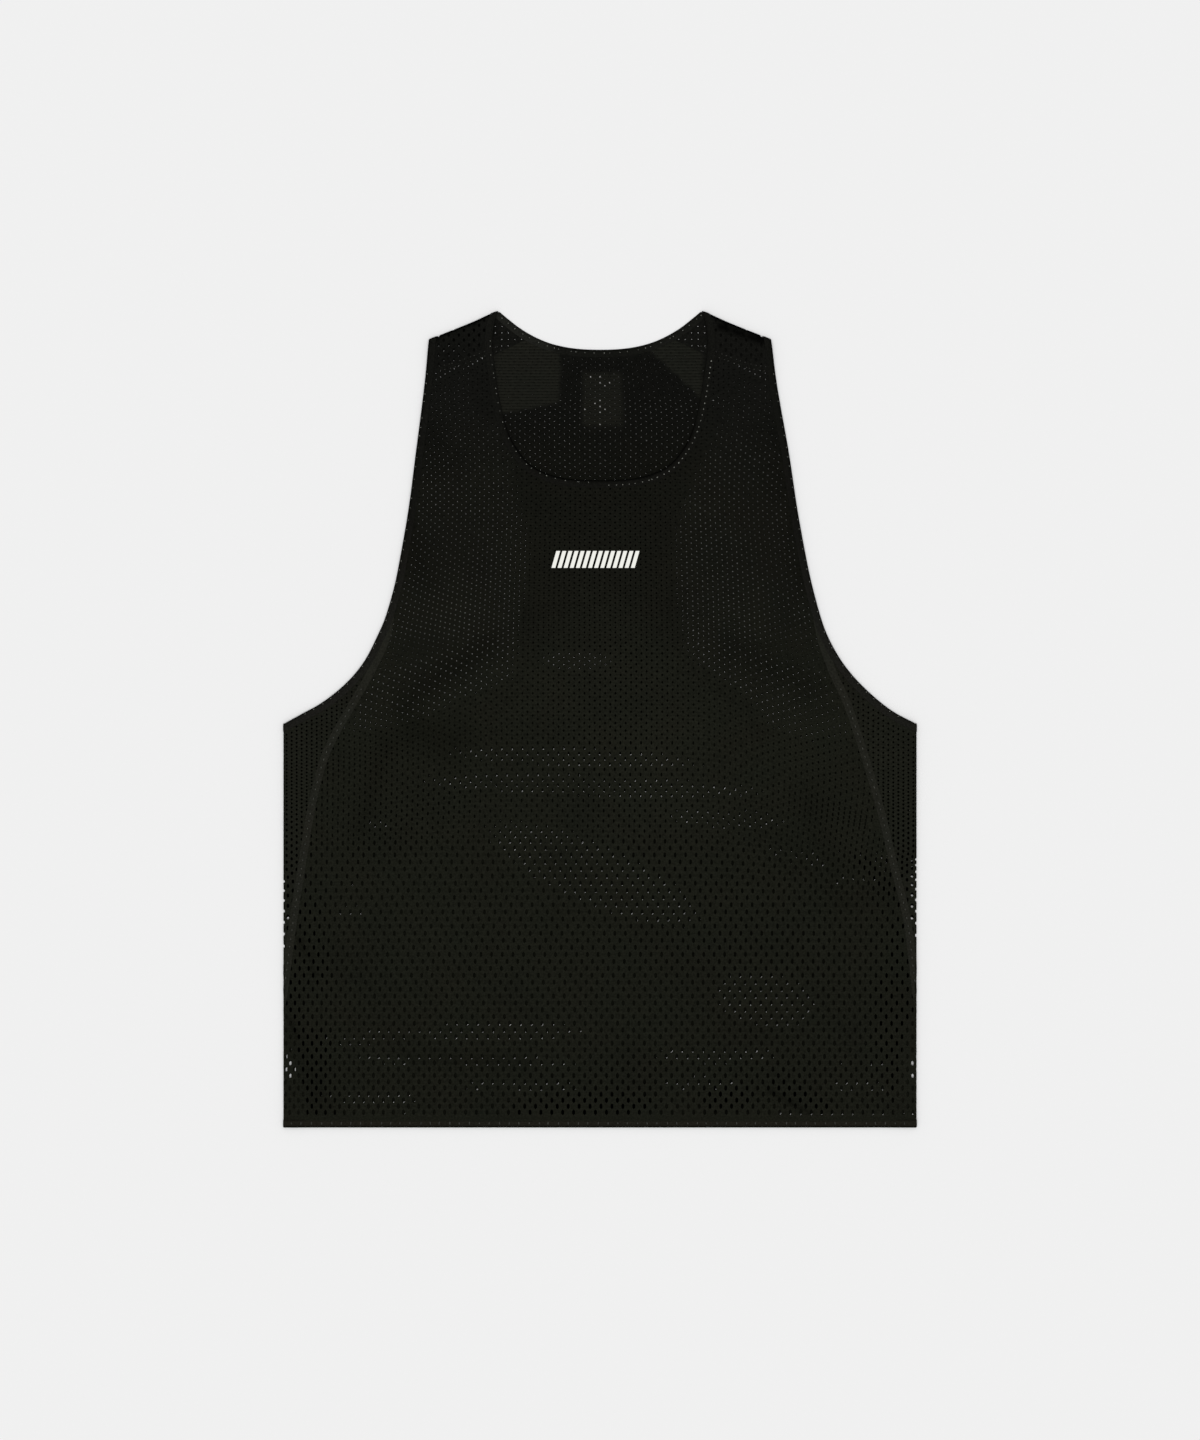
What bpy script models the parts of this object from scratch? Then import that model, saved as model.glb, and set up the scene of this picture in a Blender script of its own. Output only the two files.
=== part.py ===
"""Running singlet laid flat on its back: mesh panels, side panels, shoulder yokes, bands and a hem.

Metres, +Z up. The underside rests on z = 0, +Y runs from the hem to the neck, and the origin is
below the middle of the overall box.

The cloth is one flattened tube, a front layer over a back layer. Each piece is cut in a plane
where the tube is unrolled, so that a side fold or a shoulder fold is a straight line in it, and
is then wrapped round the folds. A place past the start of a fold is called its run.
"""
import math
from collections import namedtuple

import bmesh
import bpy
from mathutils import Vector
from mathutils.geometry import intersect_line_line_2d

MM = 0.001


def table(columns, *rows):
    """Rows of millimetre values, as records with named columns in metres."""
    record = namedtuple("Row", columns)
    return [record(*(value * MM for value in row)) for row in rows]


# Driving dimensions
HALF_WIDTH = 259.7 * MM  # centre line to the side fold
HALF_LENGTH = 334.6 * MM  # middle to the hem's edge, and to the neck points
WALL = 1.0 * MM  # one layer of cloth
LAYER_GAP = 1.0 * MM  # air between the layers at a fold
SEAM_GAP = 0.3 * MM  # between neighbouring pieces
FOLD_ROOM = 0.5 * MM  # by which a piece is set back further where its seam crosses a fold
BAND_WIDTH = 6.0 * MM  # neck and armhole bands
HEM_DEPTH = 6.2 * MM  # turned hem
BACK_SCOOP = 1.2 * MM  # the back armhole is cut this much deeper than the front
SINK = 0.65 * MM  # how far the front layer sinks onto the back, away from the folds
EDGE_EASE = 30.0 * MM  # it sinks, and its ridges rise, over this distance from a fold
BAND_EASE = 18.0 * MM  # a band turns to lie along a fold over this distance
MERGE = 0.02 * MM  # points closer than this are one point
GRID = 26.0 * MM  # spacing of the lines on which the front layer bends
SIDE_GRID = 13.0 * MM  # the same, across the side panels and along the yokes
BACK_GRID = 80.0 * MM  # the same, on the flat back
YOKE_GRID = 11.0 * MM  # the same, beside a shoulder fold

# Folded top of a shoulder, from the neck point out to the armhole
SHOULDER = table(
    "across along",
    (83.6, 334.6),
    (90.0, 332.3),
    (106.6, 324.8),
    (140.2, 311.4),
)
# Armhole edge of the front layer, down to the side fold: distance of each side from the centre line
ARMHOLE = table(
    "along left right",
    (311.4, 140.2, 140.2),
    (273.3, 143.8, 145.0),
    (217.3, 150.9, 154.8),
    (172.0, 156.8, 161.6),
    (130.4, 164.0, 169.2),
    (106.8, 168.9, 174.4),
    (82.4, 176.1, 181.1),
    (66.8, 182.9, 187.0),
    (50.3, 191.2, 196.0),
    (36.5, 201.2, 206.2),
    (24.0, 213.8, 218.1),
    (12.7, 228.8, 231.0),
    (4.3, 243.9, 242.9),
    (-3.7, 258.4, 258.4),
)
# Front neck edge, right half, from the shoulder to the centre line
FRONT_NECK = table(
    "across along",
    (83.6, 334.6),
    (86.2, 327.0),
    (88.0, 316.0),
    (88.4, 303.0),
    (86.6, 289.0),
    (83.3, 266.7),
    (79.5, 248.1),
    (74.0, 231.6),
    (67.3, 219.8),
    (58.0, 208.9),
    (45.4, 201.6),
    (26.7, 196.7),
    (0.0, 195.4),
)
# Back neck edge, right half, from the shoulder to the centre line
BACK_NECK = table(
    "across along",
    (83.6, 334.6),
    (76.4, 328.6),
    (65.6, 320.2),
    (52.5, 312.6),
    (38.0, 307.0),
    (20.5, 303.6),
    (0.0, 302.6),
)
# Front yoke seam, from the neck band to the armhole band
FRONT_YOKE = table(
    "across along",
    (80.0, 304.6),
    (88.0, 301.8),
    (107.4, 294.4),
    (125.2, 288.6),
    (145.0, 285.8),
)
# Back yoke seam, from the back neck out to the armhole band
BACK_YOKE = table(
    "across along",
    (46.0, 318.2),
    (52.7, 314.8),
    (81.8, 300.8),
    (112.0, 285.0),
    (146.0, 271.0),
)
# Front seam of the side panels: distance of each from the centre line, on past the fold at the hem
FRONT_SEAM = table(
    "along left right",
    (96.0, 171.0, 176.0),
    (68.9, 174.4, 180.4),
    (40.2, 187.0, 190.0),
    (13.9, 201.8, 202.1),
    (-13.9, 217.8, 211.8),
    (-36.9, 227.6, 219.0),
    (-74.6, 236.8, 230.0),
    (-117.3, 243.8, 240.2),
    (-163.2, 251.0, 251.4),
    (-207.5, 256.9, 257.0),
    (-250.0, 262.0, 262.0),
    (-336.0, 269.0, 269.0),
)
# Back seam of the side panels, on the back layer
BACK_SEAM = table(
    "along across",
    (96.0, 178.0),
    (66.0, 180.0),
    (36.0, 188.0),
    (0.0, 204.0),
    (-60.0, 216.0),
    (-130.0, 220.0),
    (-230.0, 219.0),
    (-336.0, 214.0),
)
# Soft ridges in the front layer, each from one place to another
RIDGES = table(
    "start_across start_along stop_across stop_along height width",
    (-172.0, -16.0, -204.0, -126.0, 1.0, 15.0),
    (176.0, -6.0, 200.0, -110.0, 0.8, 15.0),
    (10.0, -283.0, 236.0, -288.0, 0.8, 11.0),
    (-120.0, 150.0, -150.0, 60.0, 0.5, 16.0),
    (124.0, 170.0, 156.0, 66.0, 0.5, 16.0),
    (-96.0, -196.0, 90.0, -186.0, 0.4, 18.0),
    (-238.0, -150.0, -230.0, -214.0, 1.6, 14.0),
    (236.0, -150.0, 238.0, -280.0, 1.6, 14.0),
    (-240.0, -262.0, -224.0, -310.0, 1.5, 14.0),
    (-50.0, -304.0, 36.0, -304.0, 1.6, 15.0),
    (92.0, -306.0, 158.0, -300.0, 1.1, 12.0),
)

FOLD_RADIUS = (WALL + LAYER_GAP) / 2  # to the middle of the wall
FOLD_LENGTH = math.pi * FOLD_RADIUS  # of cloth, round a fold
FOLD_STEPS = 6
BACK_LEVEL = WALL / 2  # middle of the wall, on the back layer
FOLD_LEVEL = BACK_LEVEL + FOLD_RADIUS
SIDE = HALF_WIDTH - WALL / 2 - FOLD_RADIUS  # where the cloth starts to turn at the sides
HEM_TOP = HEM_DEPTH - HALF_LENGTH
FRONT, BACK = LAYERS = ("front", "back")
ALONG_SIDE = Vector((0, -1.12))  # a band's width, where it meets the side fold aslant
SCOOP_SPREAD = 4  # the back armhole's deeper cut starts over the first and last quarter
TURN = [FOLD_LENGTH * i / FOLD_STEPS for i in range(1, FOLD_STEPS)]  # runs inside a fold
HEM_REACH = 1.5 * HALF_WIDTH
HEM_LINE = [Vector((-HEM_REACH, HEM_TOP + SEAM_GAP)), Vector((HEM_REACH, HEM_TOP + SEAM_GAP))]

CLOTH = (0.020, 0.021, 0.017, 1.0)
TRIM = (0.026, 0.026, 0.021, 1.0)
CLOTH_ROUGHNESS = 0.9


def ease(value):
    """Smooth step from 0 to 1."""
    value = min(max(value, 0.0), 1.0)
    return value * value * (3 - 2 * value)


def smooth(points, pieces=4):
    """Points on a smooth line through the given ones."""
    ends = [2 * points[0] - points[1], *points, 2 * points[-1] - points[-2]]
    line = []
    for before, start, stop, after in zip(ends, ends[1:], ends[2:], ends[3:]):
        for i in range(pieces):
            t = i / pieces
            slope = (stop - before) * t
            bend = (2 * before - 5 * start + 4 * stop - after) * t**2
            twist = (3 * start - before - 3 * stop + after) * t**3
            line.append(start + (slope + bend + twist) / 2)
    return line + [points[-1].copy()]


def mirrored(line):
    return [Vector((-point.x, point.y)) for point in line]


def both_halves(rows):
    """A line from right to left through the rows of a right half that ends on the centre line."""
    right = [Vector((row.across, row.along)) for row in rows]
    return smooth(right + mirrored(right[-2::-1]))


def side_line(rows, side):
    """A line through the rows of one side, -1 for the left and 1 for the right."""
    column = "left" if side < 0 else "right"
    return smooth([Vector((side * getattr(row, column), row.along)) for row in rows])


def plain_line(rows, side):
    return smooth([Vector((side * row.across, row.along)) for row in rows])


def height_at(line, across):
    """How far along a line is at a distance from the centre, its end stretches carried on."""
    for start, stop in zip(line, line[1:]):
        if across < stop.x or stop is line[-1]:
            share = (across - start.x) / (stop.x - start.x)
            return start.y + share * (stop.y - start.y)


SHOULDER_LINE = plain_line(SHOULDER, 1)


def shoulder_start(across):
    """Where the cloth starts to turn at a shoulder."""
    return height_at(SHOULDER_LINE, abs(across)) - WALL / 2 - FOLD_RADIUS


def offset(line, distance):
    """A line to the left of the given one, or to the right for a distance below 0."""
    moved = []
    for i, point in enumerate(line):
        ahead = line[min(i + 1, len(line) - 1)] - line[max(i - 1, 0)]
        moved.append(point + distance * Vector((-ahead.y, ahead.x)).normalized())
    return moved


def band_line(edge, distance, first, last):
    """The edge's offset, with its ends set off by given steps, to lie along a fold."""
    run = [0.0]
    for start, stop in zip(edge, edge[1:]):
        run.append(run[-1] + (stop - start).length)
    line = []
    for place, point, moved in zip(run, edge, offset(edge, distance)):
        across = moved - point
        for step, away in ((first, place), (last, run[-1] - place)):
            across = step.lerp(across, ease(away / BAND_EASE))
        line.append(point + across)
    return line


def crossing(first, second):
    """Where two lines meet, and how many points of each come before it."""
    for i, (a, b) in enumerate(zip(first, first[1:]), 1):
        for j, (c, d) in enumerate(zip(second, second[1:]), 1):
            point = intersect_line_line_2d(a, b, c, d)
            if point is not None:
                return point, i, j
    raise ValueError(f"two edges of a piece don't meet: {first[0]} and {second[0]}")


def enclose(*lines):
    """The outline between lines that each cross the next, and the last one the first."""
    meets = [crossing(line, after) for line, after in zip(lines, lines[1:] + lines[:1])]
    outline = []
    for line, before, after in zip(lines, meets[-1:] + meets[:-1], meets):
        outline.append(before[0])
        outline += line[before[2] : after[1]]
    return outline


def relief(across, along):
    """How far the front layer stands above the height that it leaves a fold at."""
    from_side = ease((SIDE - abs(across)) / EDGE_EASE)
    from_top = ease((shoulder_start(across) - along) / EDGE_EASE)
    rise = -SINK * from_side * from_top
    here = Vector((across, along))
    for ridge in RIDGES:
        start = Vector((ridge.start_across, ridge.start_along))
        length = Vector((ridge.stop_across, ridge.stop_along)) - start
        share = (here - start).dot(length) / length.length_squared
        nearest = start + min(max(share, 0.0), 1.0) * length
        swell = math.exp(-(((here - nearest).length / ridge.width) ** 2))
        rise += ridge.height * swell * from_side
    return rise


def round_fold(run):
    """How far the cloth reaches past the start of a fold, and its height, at a given run."""
    angle = min(max(run / FOLD_RADIUS, 0.0), math.pi)
    reach = min(run, 0.0) + FOLD_RADIUS * math.sin(angle) - max(run - FOLD_LENGTH, 0.0)
    return reach, FOLD_LEVEL + FOLD_RADIUS * math.cos(angle)


def lay_back(point):
    return Vector((point.x, point.y, BACK_LEVEL))


def lay_round_side(point):
    """From the plane in which the side folds are unrolled."""
    run = abs(point.x) - SIDE
    reach, height = round_fold(run)
    across = math.copysign(SIDE + reach, point.x)
    if run < 0:
        height += relief(across, point.y)
    return Vector((across, point.y, height))


def lay_round_shoulder(point):
    """From the plane in which a shoulder fold is unrolled, with the run as its second axis."""
    reach, height = round_fold(point.y)
    along = shoulder_start(point.x) + reach
    if point.y < 0:
        height += relief(point.x, along)
    return Vector((point.x, along, height))


def unroll_side(point):
    """A place on the back layer, in the plane in which the side folds are unrolled."""
    return Vector((math.copysign(2 * SIDE + FOLD_LENGTH, point.x) - point.x, point.y))


def unroll_shoulder(point, layer):
    run = point.y - shoulder_start(point.x)
    return Vector((point.x, run if layer == FRONT else FOLD_LENGTH - run))


def fold_cuts(start):
    """Where a fold that starts at a given place is bent."""
    return [start + FOLD_LENGTH * i / FOLD_STEPS for i in range(FOLD_STEPS + 1)]


def grid_cuts(reach, spacing=GRID):
    """Evenly spaced places on both sides of 0."""
    count = int(reach / spacing)
    return [i * spacing for i in range(-count, count + 1)]


def material(name, colour):
    made = bpy.data.materials.new(name)
    made.use_nodes = True
    shader = made.node_tree.nodes["Principled BSDF"]
    shader.inputs["Base Color"].default_value = colour
    shader.inputs["Roughness"].default_value = CLOTH_ROUGHNESS
    shader.inputs["Metallic"].default_value = 0.0
    return made


def add_wall(name, mesh, colour):
    """Turns a surface into an object with the cloth's thickness."""
    bmesh.ops.remove_doubles(mesh, verts=mesh.verts, dist=MERGE)
    data = bpy.data.meshes.new(name)
    mesh.to_mesh(data)
    mesh.free()
    piece = bpy.data.objects.new(name, data)
    piece.data.materials.append(material(name, colour))
    collection.objects.link(piece)
    wall = piece.modifiers.new("Wall", "SOLIDIFY")
    wall.thickness = WALL
    wall.offset = 0.0
    wall.use_even_offset = True
    return piece


def add_panel(name, outline, lay, across_cuts=(), along_cuts=()):
    """A cut piece: its outline in the unrolled plane, the lines it bends on, and how it is laid."""
    mesh = bmesh.new()
    mesh.faces.new([mesh.verts.new((*point, 0.0)) for point in outline])
    bmesh.ops.remove_doubles(mesh, verts=mesh.verts, dist=MERGE)
    cuts = [(Vector((place, 0, 0)), Vector((1, 0, 0))) for place in across_cuts]
    cuts += [(Vector((0, place, 0)), Vector((0, 1, 0))) for place in along_cuts]
    for place, direction in cuts:
        geometry = mesh.verts[:] + mesh.edges[:] + mesh.faces[:]
        bmesh.ops.bisect_plane(mesh, geom=geometry, dist=MERGE, plane_co=place, plane_no=direction)
    bmesh.ops.triangulate(mesh, faces=mesh.faces)
    for vertex in mesh.verts:
        vertex.co = lay(vertex.co)
    return add_wall(name, mesh, CLOTH)


def add_ring(name, edges, insides):
    """A closed strip of cloth between two rings of places."""
    mesh = bmesh.new()
    rings = [[mesh.verts.new(place) for place in ring] for ring in (edges, insides)]
    for i in range(len(edges)):
        mesh.faces.new((rings[0][i - 1], rings[0][i], rings[1][i], rings[1][i - 1]))
    return add_wall(name, mesh, TRIM)


class Armhole:
    """The edge of one armhole on each layer, and lines inside it, from the shoulder to the side."""

    def __init__(self, side):
        self.side = side
        front = side_line(ARMHOLE, side)
        front[0].y = shoulder_start(front[0].x)
        front[-1].x = side * SIDE
        deeper = offset(front, -side * BACK_SCOOP)
        last = len(front) - 1
        shares = [ease(SCOOP_SPREAD * min(i, last - i) / last) for i in range(last + 1)]
        back = [edge.lerp(moved, share) for edge, moved, share in zip(front, deeper, shares)]
        self.edge = {FRONT: front, BACK: back}

    def inside(self, layer, distance, room=0.0):
        edge = self.edge[layer]
        wide = distance + room
        inner = edge[0].x - self.side * wide
        along_shoulder = Vector((-self.side * wide, shoulder_start(inner) - edge[0].y))
        return band_line(edge, -self.side * distance, along_shoulder, wide * ALONG_SIDE)

    def cut(self, layer):
        """The line to which the cloth beside the band is cut."""
        return self.inside(layer, BAND_WIDTH + SEAM_GAP, FOLD_ROOM)

    def ring(self, lines):
        """Places on a line that runs round both folds, given its part on each layer."""
        front, back = lines[FRONT], lines[BACK]
        side_turn = [Vector((front[-1].x + self.side * run, front[-1].y)) for run in TURN]
        shoulder_turn = [Vector((front[0].x, run)) for run in TURN]
        places = [lay_round_side(point) for point in front + side_turn]
        places += [lay_back(point) for point in reversed(back)]
        return places + [lay_round_shoulder(point) for point in reversed(shoulder_turn)]

    def add_band(self, name):
        insides = {layer: self.inside(layer, BAND_WIDTH) for layer in LAYERS}
        add_ring(name, self.ring(self.edge), self.ring(insides))


class Neck:
    """The neck edge on each layer, from right to left, and lines outside it."""

    def __init__(self):
        self.edge = {FRONT: both_halves(FRONT_NECK), BACK: both_halves(BACK_NECK)}
        for line in self.edge.values():
            line[0].y = line[-1].y = shoulder_start(line[0].x)

    def outside(self, layer, distance, room=0.0):
        edge = self.edge[layer]
        wide = distance + room
        rise = shoulder_start(edge[0].x + wide) - edge[0].y
        return band_line(edge, distance, Vector((wide, rise)), Vector((-wide, rise)))

    def cut(self, layer, side=None):
        """The line to which the cloth beside the band is cut, or one half of it from its shoulder."""
        line = self.outside(layer, BAND_WIDTH + SEAM_GAP, FOLD_ROOM)
        if side is None:
            return line
        middle = len(line) // 2
        return line[: middle + 1] if side > 0 else line[middle:][::-1]

    def ring(self, lines):
        """Places on a line that runs round both shoulder folds, given its part on each layer."""
        front, back = lines[FRONT], lines[BACK]
        left_turn, right_turn = ([Vector((front[end].x, run)) for run in TURN] for end in (-1, 0))
        places = [lay_round_shoulder(unroll_shoulder(point, FRONT)) for point in front]
        places += [lay_round_shoulder(point) for point in left_turn]
        places += [lay_back(point) for point in reversed(back)]
        return places + [lay_round_shoulder(point) for point in reversed(right_turn)]

    def add_band(self, name):
        outsides = {layer: self.outside(layer, BAND_WIDTH) for layer in LAYERS}
        add_ring(name, self.ring(self.edge), self.ring(outsides))


def seam(rows, side, gap_side):
    """A seam line with its cloth set back by half the gap, to its left or right (1 or -1)."""
    line = side_line(rows, side) if "left" in rows[0]._fields else plain_line(rows, side)
    line = offset(line, gap_side * SEAM_GAP / 2)
    for point in line:
        from_fold = abs(abs(point.x) - SIDE - FOLD_LENGTH / 2) - FOLD_LENGTH / 2
        point.x += gap_side * FOLD_ROOM * (1 - ease(from_fold / FOLD_LENGTH))
    return line


def add_front_panel(neck, left, right):
    outline = enclose(
        HEM_LINE,
        seam(FRONT_SEAM, 1, -1)[::-1],
        right.cut(FRONT)[::-1],
        seam(FRONT_YOKE, 1, -1)[::-1],
        neck.cut(FRONT),
        seam(FRONT_YOKE, -1, 1),
        left.cut(FRONT),
        seam(FRONT_SEAM, -1, 1),
    )
    folds = fold_cuts(SIDE)
    across_cuts = grid_cuts(SIDE) + folds + [-place for place in folds]
    add_panel("front_panel", outline, lay_round_side, across_cuts, grid_cuts(HALF_LENGTH))


def add_back_panel(neck, left, right):
    outline = enclose(
        HEM_LINE,
        seam(BACK_SEAM, 1, -1)[::-1],
        right.cut(BACK)[::-1],
        seam(BACK_YOKE, 1, -1)[::-1],
        neck.cut(BACK),
        seam(BACK_YOKE, -1, 1),
        left.cut(BACK),
        seam(BACK_SEAM, -1, 1),
    )
    across_cuts = grid_cuts(HALF_WIDTH, BACK_GRID)
    add_panel("back_panel", outline, lay_back, across_cuts, grid_cuts(HALF_LENGTH, BACK_GRID))


def add_side_panel(name, armhole):
    side = armhole.side
    back_armhole = [unroll_side(point) for point in armhole.cut(BACK)]
    outline = enclose(
        HEM_LINE,
        [unroll_side(point) for point in seam(BACK_SEAM, side, side)[::-1]],
        back_armhole + armhole.cut(FRONT)[::-1],
        seam(FRONT_SEAM, side, side),
    )
    beside_fold = [SIDE - SIDE_GRID, SIDE - 2 * SIDE_GRID]
    across_cuts = [side * place for place in fold_cuts(SIDE) + beside_fold]
    add_panel(name, outline, lay_round_side, across_cuts, grid_cuts(HALF_LENGTH))


def add_shoulder_yoke(name, neck, armhole):
    side = armhole.side

    def unrolled(line, layer):
        return [unroll_shoulder(point, layer) for point in line]

    outline = enclose(
        unrolled(seam(FRONT_YOKE, side, side), FRONT),
        unrolled(armhole.cut(FRONT)[::-1], FRONT) + unrolled(armhole.cut(BACK), BACK),
        unrolled(seam(BACK_YOKE, side, side)[::-1], BACK),
        unrolled(neck.cut(BACK, side)[::-1], BACK) + unrolled(neck.cut(FRONT, side), FRONT),
    )
    along_cuts = fold_cuts(0.0) + [-YOKE_GRID, -2 * YOKE_GRID]
    add_panel(name, outline, lay_round_shoulder, grid_cuts(HALF_WIDTH, SIDE_GRID), along_cuts)


def add_hem():
    """A strip round the bottom, from right to left on the front and back on the back layer."""
    front = [SIDE, *reversed(grid_cuts(SIDE)), -SIDE]
    rings = []
    for along in (-HALF_LENGTH, HEM_TOP):
        places = [lay_round_side(Vector((across, along))) for across in front]
        places += [lay_round_side(Vector((-SIDE - run, along))) for run in TURN]
        places += [lay_back(Vector((across, along))) for across in reversed(front)]
        places += [lay_round_side(Vector((SIDE + run, along))) for run in reversed(TURN)]
        rings.append(places)
    add_ring("hem_band", *rings)


def main():
    neck = Neck()
    left, right = Armhole(-1), Armhole(1)
    neck.add_band("neck_band")
    left.add_band("armhole_band_left")
    right.add_band("armhole_band_right")
    add_hem()
    add_front_panel(neck, left, right)
    add_back_panel(neck, left, right)
    add_side_panel("side_panel_left", left)
    add_side_panel("side_panel_right", right)
    add_shoulder_yoke("shoulder_yoke_left", neck, left)
    add_shoulder_yoke("shoulder_yoke_right", neck, right)


for old in list(bpy.data.objects):
    bpy.data.objects.remove(old)
collection = bpy.data.collections.new("running_singlet")
bpy.context.scene.collection.children.link(collection)
main()
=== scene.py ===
"""A running singlet of engineered mesh, laid flat: panels, bindings, seams, stitches and a stage.

Metres, +Z up. The cloth is one flattened tube, a front layer over a back layer. Each piece is cut
in a plane where the tube is unrolled, so that a side fold or a shoulder fold is a straight line in
it, and is then wrapped round the folds. A place past the start of a fold is called its run. A
place's lift is how far it stands off the middle of the cloth, to the outside of the garment.
"""
import math
from collections import namedtuple

import bmesh
import bpy
import numpy as np
from bpy.props import FloatProperty, FloatVectorProperty, IntProperty, PointerProperty
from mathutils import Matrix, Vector
from mathutils.geometry import delaunay_2d_cdt
from mathutils.kdtree import KDTree


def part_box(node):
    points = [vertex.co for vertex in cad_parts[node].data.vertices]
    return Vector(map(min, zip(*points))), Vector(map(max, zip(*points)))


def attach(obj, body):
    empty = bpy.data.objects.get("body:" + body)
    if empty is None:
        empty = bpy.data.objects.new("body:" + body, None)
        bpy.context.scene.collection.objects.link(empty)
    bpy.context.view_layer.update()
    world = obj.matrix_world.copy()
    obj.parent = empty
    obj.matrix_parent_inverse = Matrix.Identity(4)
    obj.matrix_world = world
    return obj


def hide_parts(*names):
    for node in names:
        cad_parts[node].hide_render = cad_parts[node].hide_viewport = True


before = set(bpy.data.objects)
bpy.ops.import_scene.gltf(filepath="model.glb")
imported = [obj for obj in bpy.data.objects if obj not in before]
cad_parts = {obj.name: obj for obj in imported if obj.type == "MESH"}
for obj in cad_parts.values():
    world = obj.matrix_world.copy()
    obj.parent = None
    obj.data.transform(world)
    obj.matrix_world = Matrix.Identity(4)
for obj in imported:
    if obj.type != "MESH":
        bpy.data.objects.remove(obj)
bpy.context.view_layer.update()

bl_info = {
    "name": "Running Singlet",
    "version": (1, 0, 0),
    "blender": (4, 5, 0),
    "location": "View3D > Sidebar > Singlet",
    "description": "Sews a laid running singlet of perforated mesh round its packed frame",
    "category": "Object",
}

MM = 0.001


def table(columns, *rows):
    """Rows of named columns, given in millimetres or thousandths, in metres or as shares."""
    record = namedtuple("Row", columns)
    return [record(*(value * MM for value in row)) for row in rows]


def column(rows, name):
    return np.array([getattr(row, name) for row in rows])


SIDE_NAMES = {-1: "left", 1: "right"}
FRONT, BACK = LAYERS = ("front", "back")

# Sizes of the frame's solids, which the cloth follows
HALF_LENGTH = -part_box("hem_band")[0].y  # middle to the hem's edge, and to the neck points
HALF_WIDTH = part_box("hem_band")[1].x  # centre line to the side fold
WALL = 1.0 * MM  # a solid's wall, in which the thinner cloth lies
LAYER_GAP = 1.0 * MM
SEAM_GAP = 0.3 * MM
BAND_WIDTH = 6.0 * MM
HEM_DEPTH = 6.2 * MM
BACK_SCOOP = 1.2 * MM  # how much deeper an armhole is on the back layer
SCOOP_SPREAD = 4  # it is full past one part in this many of the edge, from each end
SINK = 0.65 * MM  # how far the front layer sinks from its height at a fold
EDGE_EASE = 30.0 * MM  # it sinks, and its ridges rise, over this distance from a fold
BAND_EASE = 18.0 * MM  # a band comes to its full offset over this distance from a fold
FOLD_RADIUS = (WALL + LAYER_GAP) / 2  # to the middle of the wall
FOLD_LENGTH = math.pi * FOLD_RADIUS  # of cloth, round a fold
FOLD_STEPS = 6
FOLD_LEVEL = WALL / 2 + FOLD_RADIUS
SIDE = HALF_WIDTH - WALL / 2 - FOLD_RADIUS  # where the cloth starts to turn at the sides
HEM_TOP = HEM_DEPTH - HALF_LENGTH
ALONG_SIDE = np.array((0.0, -1.12))  # a band's width, where it meets the side fold aslant

# Folded top of a shoulder, from the neck point out to the armhole
SHOULDER = table(
    "across along",
    (83.6, 334.6),
    (90, 332.3),
    (106.6, 324.8),
    (140.2, 311.4),
)
# Armhole edge of the front layer, down to the side fold: distance of each side from the centre line
ARMHOLE = table(
    "along left right",
    (311.4, 140.2, 140.2),
    (273.3, 143.8, 145),
    (217.3, 150.9, 154.8),
    (172, 156.8, 161.6),
    (130.4, 164, 169.2),
    (106.8, 168.9, 174.4),
    (82.4, 176.1, 181.1),
    (66.8, 182.9, 187),
    (50.3, 191.2, 196),
    (36.5, 201.2, 206.2),
    (24, 213.8, 218.1),
    (12.7, 228.8, 231),
    (4.3, 243.9, 242.9),
    (-3.7, 258.4, 258.4),
)
# Front neck edge, right half, from the shoulder to the centre line
FRONT_NECK = table(
    "across along",
    (83.6, 334.6),
    (86.2, 327),
    (88, 316),
    (88.4, 303),
    (86.6, 289),
    (83.3, 266.7),
    (79.5, 248.1),
    (74, 231.6),
    (67.3, 219.8),
    (58, 208.9),
    (45.4, 201.6),
    (26.7, 196.7),
    (0, 195.4),
)
# Back neck edge, right half, from the shoulder to the centre line
BACK_NECK = table(
    "across along",
    (83.6, 334.6),
    (76.4, 328.6),
    (65.6, 320.2),
    (52.5, 312.6),
    (38, 307),
    (20.5, 303.6),
    (0, 302.6),
)
# Front yoke seam, from the neck band to the armhole band
FRONT_YOKE = table(
    "across along",
    (80, 304.6),
    (88, 301.8),
    (107.4, 294.4),
    (125.2, 288.6),
    (145, 285.8),
)
# Back yoke seam, from the back neck out to the armhole band
BACK_YOKE = table(
    "across along",
    (46, 318.2),
    (52.7, 314.8),
    (81.8, 300.8),
    (112, 285),
    (146, 271),
)
# Front seam of the side panels: distance of each from the centre line, on past the fold at the hem
FRONT_SEAM = table(
    "along left right",
    (96, 171, 176),
    (68.9, 174.4, 180.4),
    (40.2, 187, 190),
    (13.9, 201.8, 202.1),
    (-13.9, 217.8, 211.8),
    (-36.9, 227.6, 219),
    (-74.6, 236.8, 230),
    (-117.3, 243.8, 240.2),
    (-163.2, 251, 251.4),
    (-207.5, 256.9, 257),
    (-232, 260.4, 260.4),
    (-262, 270, 270),
    (-336, 281, 281),
)
# Back seam of the side panels, on the back layer
BACK_SEAM = table(
    "along across",
    (96, 178),
    (66, 180),
    (36, 188),
    (0, 204),
    (-60, 216),
    (-130, 220),
    (-230, 219),
    (-336, 214),
)
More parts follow.
